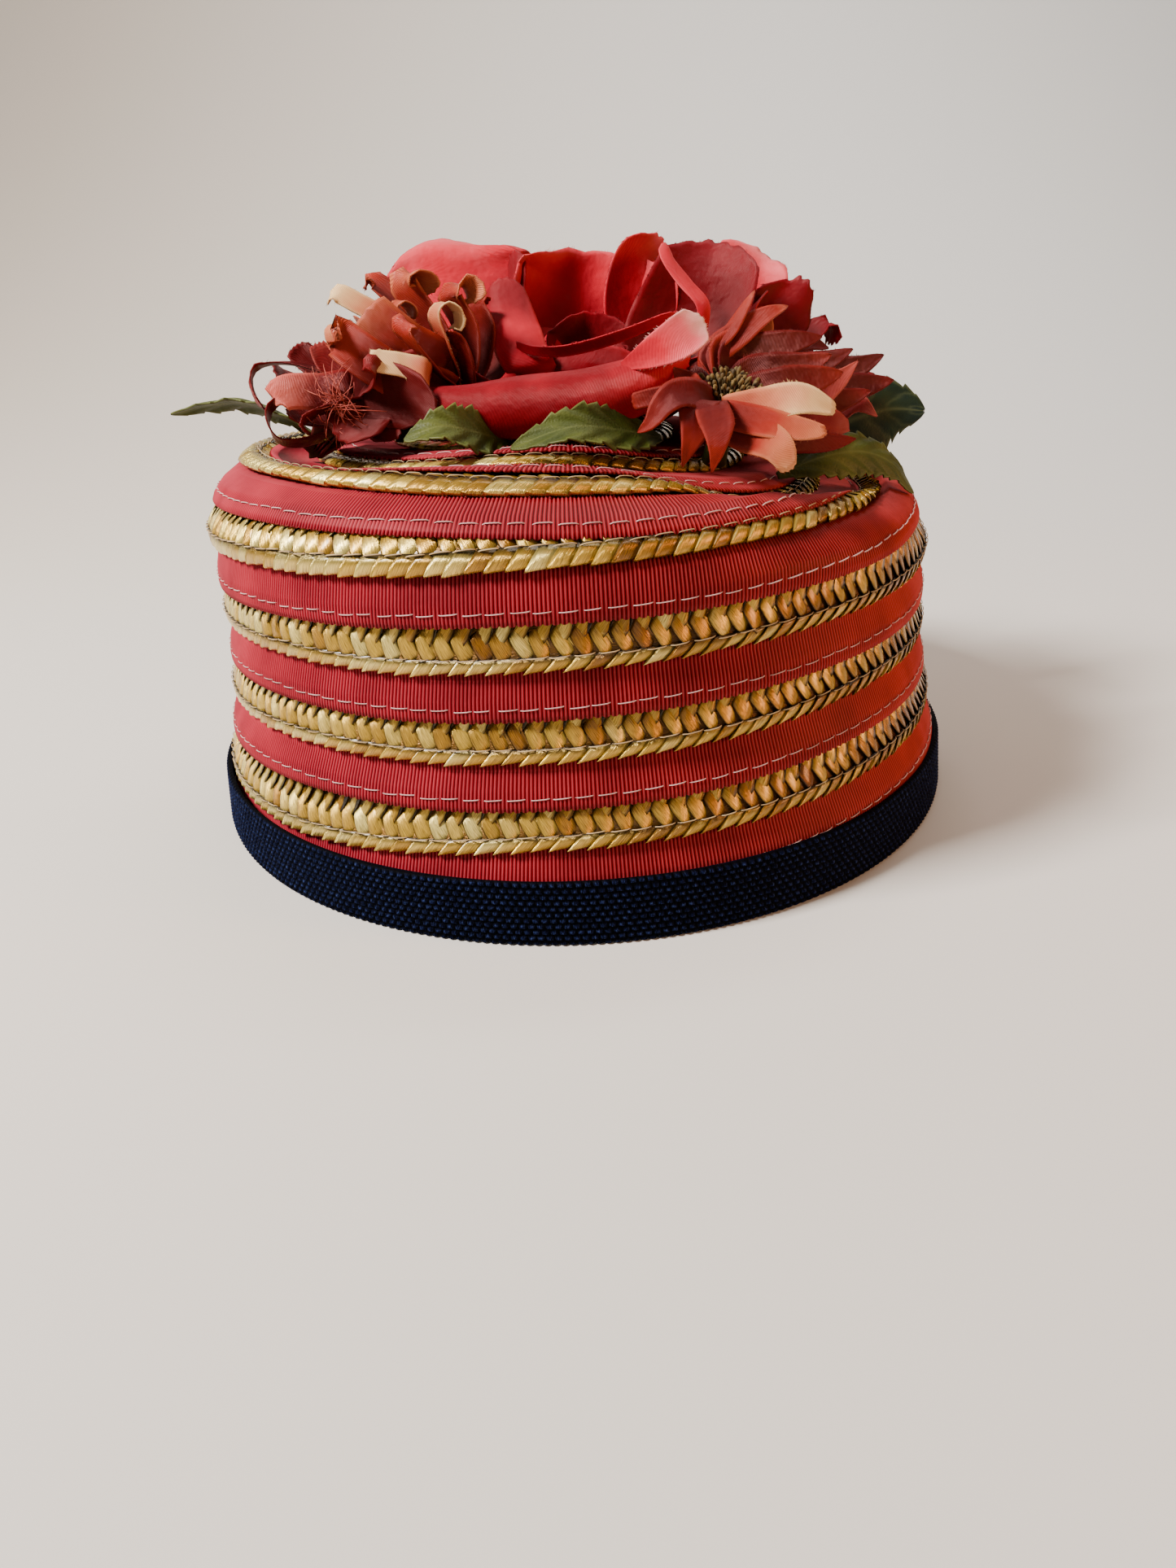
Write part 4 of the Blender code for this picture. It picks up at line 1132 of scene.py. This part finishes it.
# %% The carnation
carnation_rows = (
    ("strap", 5.5, 15, 0.04, 0.22, 0.6, (0.55, -0.8, 0), (0.5, -0.85, 0), (-24.8, -24, 94.7),
     (-28.5, -27, 101.7), (-32.7, -28, 107.4), (-33.6, -28, 110), (-32.1, -28, 111.4), (-30.2, -27, 110.3),
     (-29.5, -27, 107.9)),
    ("strap", 7.5, 15, 0.04, 0.24, 0.62, (0.8, -0.5, 0.2), (0.85, -0.5, 0.1), (-24.3, -22, 94.9),
     (-26.2, -22, 104.5), (-30.9, -22, 112.5), (-31.9, -22, 115.2), (-29.8, -22, 116.3),
     (-27.4, -21, 115.1), (-26.3, -21, 112.3)),
    ("strap", 5.5, 10, 0.03, 0.22, 0.95, (0.45, -0.88, 0), (0.5, -0.85, 0), (-23.2, -26, 94.8),
     (-23.9, -29, 102.5), (-25.4, -30, 107.8), (-24.5, -30, 110), (-22.3, -30, 110.5), (-20.2, -30, 108.8),
     (-20.8, -29, 106.5), (-22.5, -29, 106)),
    ("strap", 7, 10, 0.04, 0.22, 0.6, (0.8, -0.6, 0), None, (-22.7, -20, 94.6), (-19.9, -20, 104.2),
     (-22.7, -20, 111.2), (-22, -20, 113), (-19.6, -20, 113.5), (-17.6, -21, 112.2), (-17.5, -22, 110.2)),
    ("strap", 7, 10, 0.04, 0.16, 0.32, (0.8, -0.6, 0), None, (-21.3, -16, 94.6), (-16.9, -14, 103.8),
     (-18.7, -12, 109.4), (-17.5, -11, 111.1), (-15.8, -10, 109.8)),
    ("strap", 8, 20, 0.04, 0.14, 0.24, (0.8, -0.6, 0), None, (-18.4, -12, 94.5), (-13.8, -7, 101.2),
     (-15, -4, 106.1), (-13.8, -3, 108)),
    ("strap", 9.5, 20, 0.05, 0.26, 0.52, (-0.6, -0.2, -0.7), None, (-24.9, -30, 98.1), (-31.2, -33, 103.4),
     (-35.2, -34, 107.2), (-38.1, -34, 110.3)),
    ("strap", 5.5, 20, 0.04, 0.28, 0.9, (-0.3, -0.9, -0.3), (-0.3, -0.7, -0.6), (-28.1, -25, 100),
     (-35.6, -26, 107.9), (-41.2, -26, 111.5), (-44.9, -26, 113.3), (-46.9, -26, 111.5)),
    ("strap", 6.5, 20, 0.06, 0.2, 0.46, (-0.4, -0.8, -0.4), None, (-24.6, -19, 101.2), (-31.7, -18, 108.5),
     (-36.2, -17, 113.5), (-38.8, -17, 115.5), (-40.4, -18, 114.2)),
    ("strap", 5.0, 15, 0.04, 0.32, 0.9, (0.5, -0.8, 0), None, (-39.9, -31, 96.6), (-44.7, -33, 102.2),
     (-46.3, -33, 105.9), (-45.3, -33, 107.5), (-43.6, -33, 107), (-44.5, -33, 102.8)),
    ("strap", 5.0, 20, 0.04, 0.34, 1.0, (-0.2, -0.5, -0.85), None, (-26.5, -37, 97.6), (-31.3, -39, 99.9),
     (-35.7, -40, 100.9), (-37.7, -40, 102.2)),
    ("strap", 8.5, 25, 0.05, 0.28, 0.42, (-0.6, -0.2, -0.7), None, (-24.2, -31, 93.9), (-33, -37, 97.8),
     (-40, -39, 102.9), (-43.6, -38, 105.6), (-45.1, -39, 104.3)),
    ("strap", 8, 25, 0.05, 0.2, 0.34, (-0.7, -0.2, -0.6), None, (-23.2, -27, 94.2), (-28.2, -31, 100.7),
     (-34.4, -30, 105.2), (-37.3, -28, 107.4)),
    ("strap", 6, 25, 0.05, 0.26, 0.5, (-0.6, 0.5, 0.6), None, (-26.7, -18, 95), (-36, -10, 99.9),
     (-42.3, -6, 105.1), (-43.1, -10, 107.7)),
    ("strap", 6, 25, 0.05, 0.26, 0.6, (-0.7, 0.5, 0.2), None, (-25.1, -16, 95.6), (-30.5, -8, 102.9),
     (-34.2, -3, 108), (-33.6, -8, 111)),
    ("strap", 6, 25, 0.05, 0.24, 0.44, (0.7, -0.5, -0.4), None, (-23.9, -30, 94.5), (-26.4, -34, 98.5),
     (-29.6, -37, 103.3), (-31.2, -38, 106.4), (-29.8, -38, 107.6), (-28.4, -37, 106.4)),
    ("strap", 6, 25, 0.05, 0.18, 0.3, (0.7, -0.5, -0.4), None, (-22.3, -26, 93.8), (-20.3, -29, 98.6),
     (-21.4, -30, 103.4), (-23.2, -30, 105.3)),
)
flower("carnation", carnation_rows, coral_silk, "coral_silk", (41, 9), 0.6)

# %% The pink
pink_rows = (
    ("strap", 7.5, 20, 0.05, 0.26, 0.36, (0.1, -0.8, -0.6), (0.2, -0.9, 0.2), (-41.9, -27, 94.2),
     (-48.3, -29, 98.6), (-55.9, -31, 100.8), (-60.9, -33, 100.5), (-62.3, -35, 98.4), (-61.7, -36, 95.1),
     (-60.3, -36, 92.8)),
    ("strap", 7.5, -25, 0.04, 0.28, 0.6, (0, -0.5, -0.87), (0, -0.4, -0.9), (-42.5, -33, 95),
     (-48.3, -37, 95.8), (-53.6, -40, 96.3), (-56.4, -41, 95.4), (-56.9, -41, 94.1)),
    ("strap", 5, 10, 0.03, 0.24, 0.32, (0.1, -0.9, 0.4), None, (-44.6, -31, 88.9), (-49.2, -35, 87),
     (-54.3, -38, 86.2), (-57.6, -40, 87.4), (-58.9, -41, 90.7), (-58.4, -40, 93.4), (-56.3, -38, 94.5)),
    ("round", 14, 35, 0.06, 0.26, 0.32, (1, 0, -0.2), None, (-41, -34, 93.4), (-41.3, -39, 90.8),
     (-42.9, -43, 88.5), (-44.7, -45, 87.2)),
    ("round", 13, 35, 0.06, 0.22, 0.3, (0.3, 0, 1), None, (-42.1, -35, 94.8), (-34.1, -39, 94.5),
     (-28.6, -41, 92.5), (-25.5, -42, 90)),
    ("strap", 8, 30, 0.06, 0.28, 0.36, (0.3, 0, 1), None, (-40.8, -32, 96.1), (-33.2, -35, 97.9),
     (-26.3, -37, 99.7)),
    ("strap", 5, 30, 0.06, 0.4, 0.5, (-0.7, -0.3, -0.5), None, (-42.6, -30, 92.7), (-45.2, -31, 96.8),
     (-48.1, -30, 101.3), (-49.1, -29, 104.7)),
    ("strap", 6, 30, 0.06, 0.26, 0.36, (-0.7, -0.3, -0.5), None, (-44.5, -26, 93.9), (-49.2, -25, 98.2),
     (-53.9, -24, 102.2), (-55.2, -24, 104.1)),
    ("strap", 7, 30, 0.06, 0.24, 0.34, (0.3, -0.6, -0.7), None, (-43.9, -32, 90.2), (-49, -35, 90.8),
     (-53.3, -37, 91.8), (-55.5, -38, 93.3)),
    ("strap", 8, 25, 0.06, 0.2, 0.3, (0, 0.9, 0.3), None, (-43.9, -22, 92.9), (-52.2, -14, 94.3),
     (-59.9, -10, 96.4), (-62.4, -14, 97.8)),
    ("strap", 8, 25, 0.06, 0.2, 0.3, (-0.7, 0.7, 0), None, (-42.5, -20, 93.3), (-47.1, -10, 97.9),
     (-51.3, -5, 100.4), (-52.4, -9, 99.7)),
    ("round", 9, 35, 0.06, 0.22, 0.3, (0.6, 0, 0.8), None, (-42, -34, 92.2), (-36.8, -38, 89.2),
     (-33.1, -41, 86.9)),
    ("strap", 5, 35, 0.06, 0.3, 0.42, (-0.2, -0.8, -0.5), None, (-41.6, -34, 95), (-37.1, -40, 97.7),
     (-36.2, -42, 99.9), (-37.5, -43, 100.6), (-38.6, -43, 99.5)),
    ("strap", 6, 30, 0.06, 0.22, 0.3, (0.2, -0.9, 0.3), None, (-42.7, -34, 92.3), (-47.4, -40, 92.3),
     (-51.6, -43, 90.5), (-50.7, -43, 88.3)),
)
flower("pink", pink_rows, dark_silk, "dark_silk", (41, 11), 0.7)

# %% The daisy
daisy_rows = (
    ("blunt", 6.6, 15, 0.06, 0.6, 0.98, (0, 0.4, 0.9), (0.2, 0.5, 0.85), (29.7, -57, 90.3),
     (35.5, -61, 91.2), (42.5, -63, 92.2), (49.2, -61, 89.9)),
    ("blunt", 5.8, 15, 0.07, 0.34, 0.6, (0.2, 0.4, 0.9), (0.2, 0.6, 0.8), (29.3, -58, 89.8),
     (34.5, -63, 88.8), (40.6, -66, 87.6), (46.6, -66, 86.6)),
    ("blunt", 8, 25, 0.08, 0.32, 0.64, (0.4, 0.5, 0.8), (0.8, 0.2, 0.5), (29.1, -57, 88.6),
     (33.4, -63, 86.5), (37.4, -68, 84.6), (39.5, -69, 80.6)),
    ("kite", 7.2, 15, 0.04, 0.24, 0.34, (1, 0, -0.2), (1, 0.1, -0.2), (24.9, -60, 92.5), (23.4, -65, 89.2),
     (21.6, -68, 85.4), (20.4, -68, 82.1)),
    ("kite", 6.6, 15, 0.04, 0.26, 0.38, (1, 0, 0), (1, -0.1, 0), (26.5, -60, 92), (26.9, -66, 88.8),
     (26.5, -69, 85), (25.5, -69, 80.9)),
    ("point", 6.5, 25, 0.05, 0.24, 0.32, (0, -0.3, -0.95), (0.7, -0.5, -0.5), (25.7, -58, 92.9),
     (20.8, -62, 94), (17.5, -65, 92.6), (15.1, -67, 89.9), (12.6, -67, 88.3)),
    ("strap", 3.5, 20, 0.03, 0.24, 0.3, (0, -0.3, -0.95), None, (24, -52, 93), (18.2, -51, 92.9),
     (12.7, -50, 91.9)),
    ("kite", 5.5, 15, 0.05, 0.3, 0.42, (-0.7, 0, -0.7), None, (24.5, -50, 93.1), (22.9, -48, 95.4),
     (21.1, -46, 97.5)),
    ("point", 4, -30, 0.03, 0.3, 0.46, (-0.5, 0.7, 0.4), None, (28.5, -38, 98.3), (33.4, -36, 103.1),
     (36.7, -34, 107.4), (38.8, -32, 110)),
    ("point", 6, 20, 0.05, 0.26, 0.44, (-0.3, 0.5, 0.8), None, (29.4, -38, 97.7), (35.8, -36, 102.8),
     (41, -34, 105.7), (45.5, -32, 106.9)),
    ("point", 8, 20, 0.05, 0.28, 0.54, (-0.5, 0.2, 0.8), None, (32, -38, 98.2), (36.8, -36, 100.3),
     (40.4, -34, 102.4), (41.8, -33, 105.6)),
    ("point", 7, 20, 0.05, 0.1, 0.2, (-0.3, 0.3, 0.9), None, (33.3, -38, 98.1), (39.4, -37, 99.3),
     (46.1, -36, 100.4), (52.2, -34, 101)),
    ("point", 7, 20, 0.05, 0.14, 0.26, (-0.2, 0.3, 0.9), None, (35.2, -44, 95.1), (40.7, -44, 95.7),
     (46.4, -43, 96.3), (52.4, -42, 98)),
    ("point", 7, 20, 0.05, 0.18, 0.3, (-0.1, 0.3, 0.9), None, (35.4, -48, 92.7), (41.6, -48, 93.3),
     (48.2, -46, 94), (54.3, -44, 94.8)),
    ("kite", 7, 20, 0.05, 0.1, 0.16, (0.6, 0.3, 0.7), None, (24.7, -46, 94.6), (22.3, -46, 93.2),
     (18.4, -48, 90.6)),
)
flower("daisy", daisy_rows, coral_silk, "coral_silk", (27, 9), 0.5)

# %% The aster
aster_rows = (
    ("point", 7.5, 20, 0.05, 0.14, 0.22, (-0.1, 0.3, 0.9), None, (41.8, -24, 91.5), (49.9, -22, 94),
     (57.2, -20, 95.7), (62, -20, 97.6)),
    ("kite", 10, 20, 0.05, 0.34, 0.56, (0.2, 0.4, 0.9), (-0.3, 0.4, 0.9), (41.3, -32, 88.8),
     (48.5, -34, 89.7), (55.5, -34, 92.5), (59.9, -33, 96)),
    ("point", 7.5, 20, 0.05, 0.12, 0.2, (0, 0.3, 0.9), None, (46.7, -16, 92.3), (57.2, -13, 92.6),
     (64.8, -11, 93.1), (71.5, -10, 95.5)),
    ("point", 7.5, 20, 0.05, 0.18, 0.3, (0, 0.3, 0.9), None, (47.8, -20, 89.6), (57.6, -18, 89.2),
     (65.6, -16, 89.7), (72.9, -14, 90.4)),
    ("kite", 8.5, 20, 0.05, 0.36, 0.5, (0.1, 0.3, 0.9), (0.5, 0.3, 0.8), (46.7, -26, 86.3),
     (56.9, -27, 86.4), (61.5, -29, 87.4), (65.1, -31, 84.8)),
    ("round", 8, 40, 0.05, 0.38, 0.5, (0.1, 0.3, 0.9), None, (42, -38, 85.4), (49.3, -39, 84.8),
     (54.5, -38, 84.6), (58.2, -36, 83.4)),
    ("point", 7.5, 25, 0.05, 0.24, 0.36, (0.1, 0.3, 0.9), None, (39.2, -40, 84.1), (47.1, -42, 82.4),
     (53.1, -41, 81.5), (58.8, -39, 81.6)),
    ("point", 8, 25, 0.05, 0.12, 0.2, (-0.3, 0.3, 0.9), None, (36.3, -26, 94.5), (45.3, -20, 97.9),
     (52.5, -15, 99.3), (58.6, -12, 97.5)),
    ("point", 7, 25, 0.05, 0.14, 0.2, (0.2, 0.7, 0.6), None, (48, -14, 91.1), (58.1, 0, 93.1),
     (65.1, 6, 94.2)),
    ("point", 7, 25, 0.05, 0.16, 0.3, (0.2, 0.8, 0.6), None, (48.9, -14, 89.7), (59.7, -2, 90.4),
     (67.4, 2, 90.4), (72.4, 0, 90.7)),
    ("point", 7, 25, 0.05, 0.16, 0.3, (-0.5, 0.7, 0.6), None, (46.5, -12, 91.4), (51.1, -2, 95.3),
     (55, 4, 97.5)),
    ("point", 8, 25, 0.05, 0.2, 0.36, (0, 0.3, 0.9), None, (43.4, -30, 86.9), (51.5, -32, 87.5),
     (58.4, -31, 88.7), (63.7, -30, 89.9)),
)
flower("aster", aster_rows, dark_silk, "dark_silk", (27, 9), 0.5)

# %% [markdown]
# Calyxes and stamens
#
# Under each flower a green cup gathers the petals' roots and is sewn down to the crown. The two flowers on
# the right show their hearts: tufts of flocked stamens, each made as one array of short stalks that end in
# knobs. Their directions follow a sunflower's spiral, which spreads any number of points evenly over a disc.

# %% Finish of the green stems and leaves
def leaf_green_finish():
    """Waxed green cloth, from nearly black to olive with each leaf's tone, with yellower veins and edges."""
    finish, tree, shader = new_finish("leaf_green", Roughness=0.50, Specular_IOR_Level=0.18)
    uneven = noise_of(tree, place_of(tree), 130, 3)
    tone = math_of(tree, "MULTIPLY_ADD", uneven, 0.5, math_of(tree, "ADD", mark(tree, "tone"), -0.25))
    green = ramp_of(tree, tone, (0.0, (0.004, 0.010, 0.005)), (0.5, (0.034, 0.044, 0.005)),
                    (1.0, (0.13, 0.135, 0.014)))
    vein = blend_of(tree, 1.0, green, (0.04, 0.04, 0.015), "ADD")
    rim = blend_of(tree, 1.0, green, (0.06, 0.06, 0.02), "ADD")
    veined = blend_of(tree, mark(tree, "vein"), green, vein)
    weave = noise_of(tree, uv_of(tree), 2.2, 2)
    paint(tree, shader, blend_of(tree, mark(tree, "rim"), veined, rim), bump_of(tree, weave, 0.00012))
    return finish


leaf_green = leaf_green_finish()

# %% The calyxes
CUP_SIDES = 16
cup_profile = np.array([
    # share of the stem's height, radius
    (0.0, 0.0), (0.0, 2.6), (0.3, 2.2), (0.7, 3.0), (1.0, 4.2), (1.02, 3.9), (0.95, 0.0),
])


def calyx(name):
    """The cup's profile turned about the flower's axis: radius by cosine and sine, height as its share."""
    height = FLOWERS[name][2] * FLOWERS[name][3]
    matrix = stand(name)
    turn = around(CUP_SIDES)[None, :]
    share, radius = cup_profile.T[:, :, None]
    upright = together(radius * np.cos(turn), radius * np.sin(turn), share * height - height + ROOT_DEPTH)
    points = upright @ matrix[:3, :3].T + matrix[:3, 3]
    flat = points.reshape(-1, 3)
    marks = {"vein": np.zeros(len(flat)), "rim": np.zeros(len(flat)), "tone": np.full(len(flat), 0.25)}
    uv = together(turn * 4, share * height)
    piece = make_piece(name + "_calyx", flat, blocks(1, len(cup_profile), CUP_SIDES, ring=True)[:, ::-1],
                       leaf_green, uv, marks)
    return dress(piece, "leaf_green")


for flower_name in FLOWERS:
    calyx(flower_name)

# %% The stamens
GOLDEN_ANGLE = math.pi * (3 - math.sqrt(5))
stalk = np.array([
    # share of the length, radius
    (0.0, 0.15), (0.5, 0.14), (0.78, 0.15), (0.86, 0.42), (0.95, 0.42), (1.0, 0.12),
])


def stamens(name, count, long, spread, finish, slot, *nodes):
    """Stalks whose lean grows as the square root of their number, with a ring of points at each share."""
    matrix = stand(name)
    number = np.arange(count)
    turn = number * GOLDEN_ANGLE
    lean = np.radians(spread) * np.sqrt((number + 0.5) / count) + chance.normal(0, 0.05, count)
    axis = together(np.sin(lean) * np.cos(turn), np.sin(lean) * np.sin(turn), np.cos(lean))
    side = together(-np.sin(turn), np.cos(turn), 0)
    other = np.cross(axis, side)
    length = long * chance.uniform(0.75, 1.1, count)
    root = axis * np.array([1.6, 1.6, 0.3])
    ring = around(THREAD_SIDES)[None, None, :, None]
    share, radius = stalk.T[:, None, :, None, None]
    points = (root[:, None, None] + axis[:, None, None] * length[:, None, None, None] * share
              + radius * (side[:, None, None] * np.cos(ring) + other[:, None, None] * np.sin(ring)))
    points = points @ matrix[:3, :3].T + matrix[:3, 3] + matrix[:3, 2] * ROOT_DEPTH * 0.5
    faces, caps = tubes(points)
    marks = {"knob": np.broadcast_to(share, points.shape[:-1] + (1,))}
    return dress(make_piece(name + "_stamens", points, faces, finish, marks=marks, caps=caps), slot, *nodes)


def olive_finish():
    """Flocked knobs, from mustard to brown, on darker stalks."""
    finish, tree, shader = new_finish("eye_olive", Roughness=0.85)
    patch = ramp_of(tree, noise_of(tree, place_of(tree), 900, 1), (0.35, (0.050, 0.024, 0.005)),
                    (0.6, (0.16, 0.090, 0.016)))
    paint(tree, shader, blend_of(tree, mark(tree, "knob"), (0.05, 0.03, 0.01), patch))
    return finish


eye_olive = olive_finish()
stamens("daisy", 130, 6.6, 62, eye_olive, "eye_olive", "daisy_eye")
stamens("aster", 60, 5.0, 60, eye_olive, "eye_olive")

# %% [markdown]
# Leaves
#
# The leaves are die-cut from green cloth with a saw-toothed edge, and pressed so that they fold along the
# midrib and pleat between the side veins. They are petals with teeth, made by the same function: the pleats
# are a wave that slants back from the midrib, and the veins are drawn where that wave is lowest.

# %% The leaves
LEAF_GRID = (97, 25)
LEAF_WALL = 0.0004
TOOTH_DEPTH = 0.24
PLEAT_RISE = 0.32
LEAVES = (
    # width, degrees of fold, teeth on a side, how olive, direction across, knots of the midrib
    (10, -40, 11, 0.50, (0, -0.9, 0.4), (-56.5, 6.8, 80.3), (-66, 6.2, 87), (-75.5, 5.5, 91),
     (-84.5, 4.8, 91), (-93, 4, 89.5)),
    (10.5, -35, 11, 0.60, (0, 0.8, 0.6), (-12, -42, 85), (-17.9, -50, 88), (-23.6, -54, 89.6),
     (-30.5, -55, 87.6)),
    (10.5, -35, 11, 0.56, (0, 0.8, 0.6), (18.8, -42, 84), (10.1, -51, 87), (0.8, -57, 88.6),
     (-10.5, -59, 85.6)),
    (10.5, -35, 13, 0.62, (0, 0.6, 0.7), (42.7, -40, 75.2), (51.8, -40, 78.4), (61.4, -35, 78.3),
     (69.2, -31, 74.7), (74.5, -29, 68.3)),
    (22, -20, 13, 0.08, (0, 0.25, 0.97), (52.8, 9, 73.7), (61, 6, 77.5), (69.5, 5, 80.4), (78.5, 6, 82.1),
     (86.3, 5, 81.4)),
    (24, -40, 13, 0.40, (-0.98, 0.17, 0), (12.8, 34.2, 81.8), (14.8, 45.4, 82.4), (16.8, 56.5, 82),
     (18.7, 67.6, 80.6)),
    (24, -40, 13, 0.40, (-0.87, -0.5, 0), (-25.7, 25.7, 83.3), (-31.3, 35.5, 83.8), (-37, 45.3, 83.5),
     (-42.6, 55.1, 82.1)),
)


def leaf(number, width, fold, teeth, olive, side, *knots):
    """A petal with a saw-toothed edge, pleated along side veins that slant back from the midrib.

    The teeth scale the distance from the midrib by a sawtooth of t, and the pleats are a sine of t less a
    share of s, which moves the points square to the blade.
    """
    row = ("leaf", width, fold, 0.05, 0, 0, side, None, *knots)
    points, uv, _, _, (long, wide, area) = petal(row, *LEAF_GRID, phase=number * 1.3)
    t = np.linspace(0, 1, LEAF_GRID[0])[:, None]
    s = np.linspace(-1, 1, LEAF_GRID[1])[None, :]
    midrib = points[:, LEAF_GRID[1] // 2, None]
    square_to = unit(np.cross(np.gradient(midrib[:, 0], axis=0), side))[:, None]
    teeth_here = TOOTH_DEPTH * (0.5 - teeth * t % 1) * np.abs(s) ** 3 * np.minimum(6 * (1 - t), 1)
    points = midrib + (points - midrib) * (1 + teeth_here)[:, :, None]
    pleat = 0.5 * teeth * t - 1.3 * np.abs(s)
    raised = PLEAT_RISE * np.sin(2 * math.pi * pleat) * np.abs(s) * np.sin(math.pi * t)
    points = points + raised[:, :, None] * square_to
    vein = np.maximum(np.exp(-(s * 16) ** 2) + 0 * t, np.exp(-((pleat % 1 - 0.75) * 10) ** 2) * 0.5)
    rim = np.clip((np.abs(s) - 0.84) / 0.16, 0, 1) * 0.8 + 0 * t
    piece = make_piece(f"green_leaf_{number}", points, blocks(1, *LEAF_GRID), leaf_green, uv,
                       {"vein": vein, "rim": rim, "tone": np.full(rim.shape, olive)})
    thicken(piece, LEAF_WALL)
    dress(piece, "leaf_green", f"leaf_{number}")


for leaf_number, leaf_row in enumerate(LEAVES, 1):
    leaf(leaf_number, *leaf_row)

# %% Tufts of loose threads
TUFTS = (
    # finish, slot, how many, length, tone, place
    (dark_silk, "dark_silk", 110, 10.0, 0.72, (-44.5, -39, 93.5)),
    (coral_silk, "coral_silk", 40, 4.0, 0.95, (42, -42, 81)),
)
TUFT_POINTS = 7
TUFT_SIDES = 3
TUFT_RADIUS = 0.09
TUFT_LEANS = np.array([-0.3, -1.0, 0.1])


def tuft(number, finish, slot, count, long, tone, place):
    """Curled threads from one place: each is a three-sided tube round an arc in a plane of its own."""
    share = np.linspace(0, 1, TUFT_POINTS)[None, :, None]
    out = unit(chance.normal(0, 1, (count, 1, 3)) + TUFT_LEANS)
    bend = unit(np.cross(out, chance.normal(0, 1, (count, 1, 3))))
    length = long * chance.uniform(0.4, 1.0, (count, 1, 1))
    turn = chance.uniform(0.6, 3.0, (count, 1, 1)) * share
    start = place + chance.normal(0, 0.8, (count, 1, 3))
    middle = start + length * (out * np.sin(turn) + bend * (1 - np.cos(turn))) / 1.8
    ring = around(TUFT_SIDES)[None, None, :, None]
    other = np.cross(out, bend)
    round_it = bend[:, :, None] * np.cos(ring) + other[:, :, None] * np.sin(ring)
    points = middle[:, :, None] + TUFT_RADIUS * round_it
    faces, caps = tubes(points)
    uv = np.zeros(points.shape[:3] + (2,))
    marks = {"rim": np.full(uv[..., 0].shape, 0.3), "tone": np.full(uv[..., 0].shape, tone)}
    dress(make_piece(f"tuft_{number}", points, faces, finish, uv, marks, caps), slot)


for tuft_number, tuft_row in enumerate(TUFTS, 1):
    tuft(tuft_number, *tuft_row)

# %% [markdown]
# Studio
#
# A pale floor that curves up into a wall leaves no line behind the hat. The light is soft and comes from the
# left, as from a window, with a weak warm light on the right that brings out the straw.

# %% Floor and lights
COVE_STEPS = 28
COVE_RADIUS = 1.2


def studio():
    """A floor carried up into a wall along a quarter circle."""
    turn = np.linspace(0, math.pi / 2, COVE_STEPS)
    depth = np.array([-1.6, *(0.25 + COVE_RADIUS * np.sin(turn)), 0.25 + COVE_RADIUS])
    height = np.array([0.0, *(COVE_RADIUS - COVE_RADIUS * np.cos(turn)), 2.6])
    side = np.array([-2.4, 2.4])
    grid = together(side[None, :], depth[:, None], height[:, None])
    finish, tree, shader = new_finish("studio_paper", Roughness=0.9)
    sideways = math_of(tree, "ADD", sideways_of(tree), 0.5)
    # Painted light: the paper is painted warmer and darker on the left and paler on the right.
    paint(tree, shader, ramp_of(tree, sideways, (0.0, (0.58, 0.50, 0.42)), (0.75, (0.64, 0.61, 0.575))))
    make_piece("floor", grid / MM, blocks(1, len(depth), 2)[:, ::-1], finish)


def add_light(name, place, size, watts, colour, towards=(0, 0, 0.07)):
    """A square soft light that faces a point, or the middle of the hat."""
    light = bpy.data.lights.new(name, "AREA")
    light.size = size
    light.energy = watts
    light.color = colour
    lamp = bpy.data.objects.new(name, light)
    lamp.location = place
    lamp.rotation_euler = (Vector(towards) - Vector(place)).to_track_quat("-Z", "Y").to_euler()
    bpy.context.scene.collection.objects.link(lamp)


studio()
add_light("window", (-0.60, -0.24, 0.74), 0.24, 25, (1.0, 0.97, 0.93))
add_light("front_fill", (0.05, -0.95, 0.45), 0.60, 0.8, (1.0, 0.95, 0.90))
add_light("warm_bounce", (0.60, -0.22, 0.22), 0.18, 2.4, (1.0, 0.50, 0.22))
add_light("back_wall", (0.20, 0.35, 0.95), 0.60, 12, (1.0, 0.98, 0.95), towards=(0.1, 1.2, 0.30))
world = bpy.data.worlds.new("studio")
world.use_nodes = True
world.node_tree.nodes["Background"].inputs["Color"].default_value = (0.80, 0.78, 0.76, 1)
world.node_tree.nodes["Background"].inputs["Strength"].default_value = 0.13
bpy.context.scene.world = world
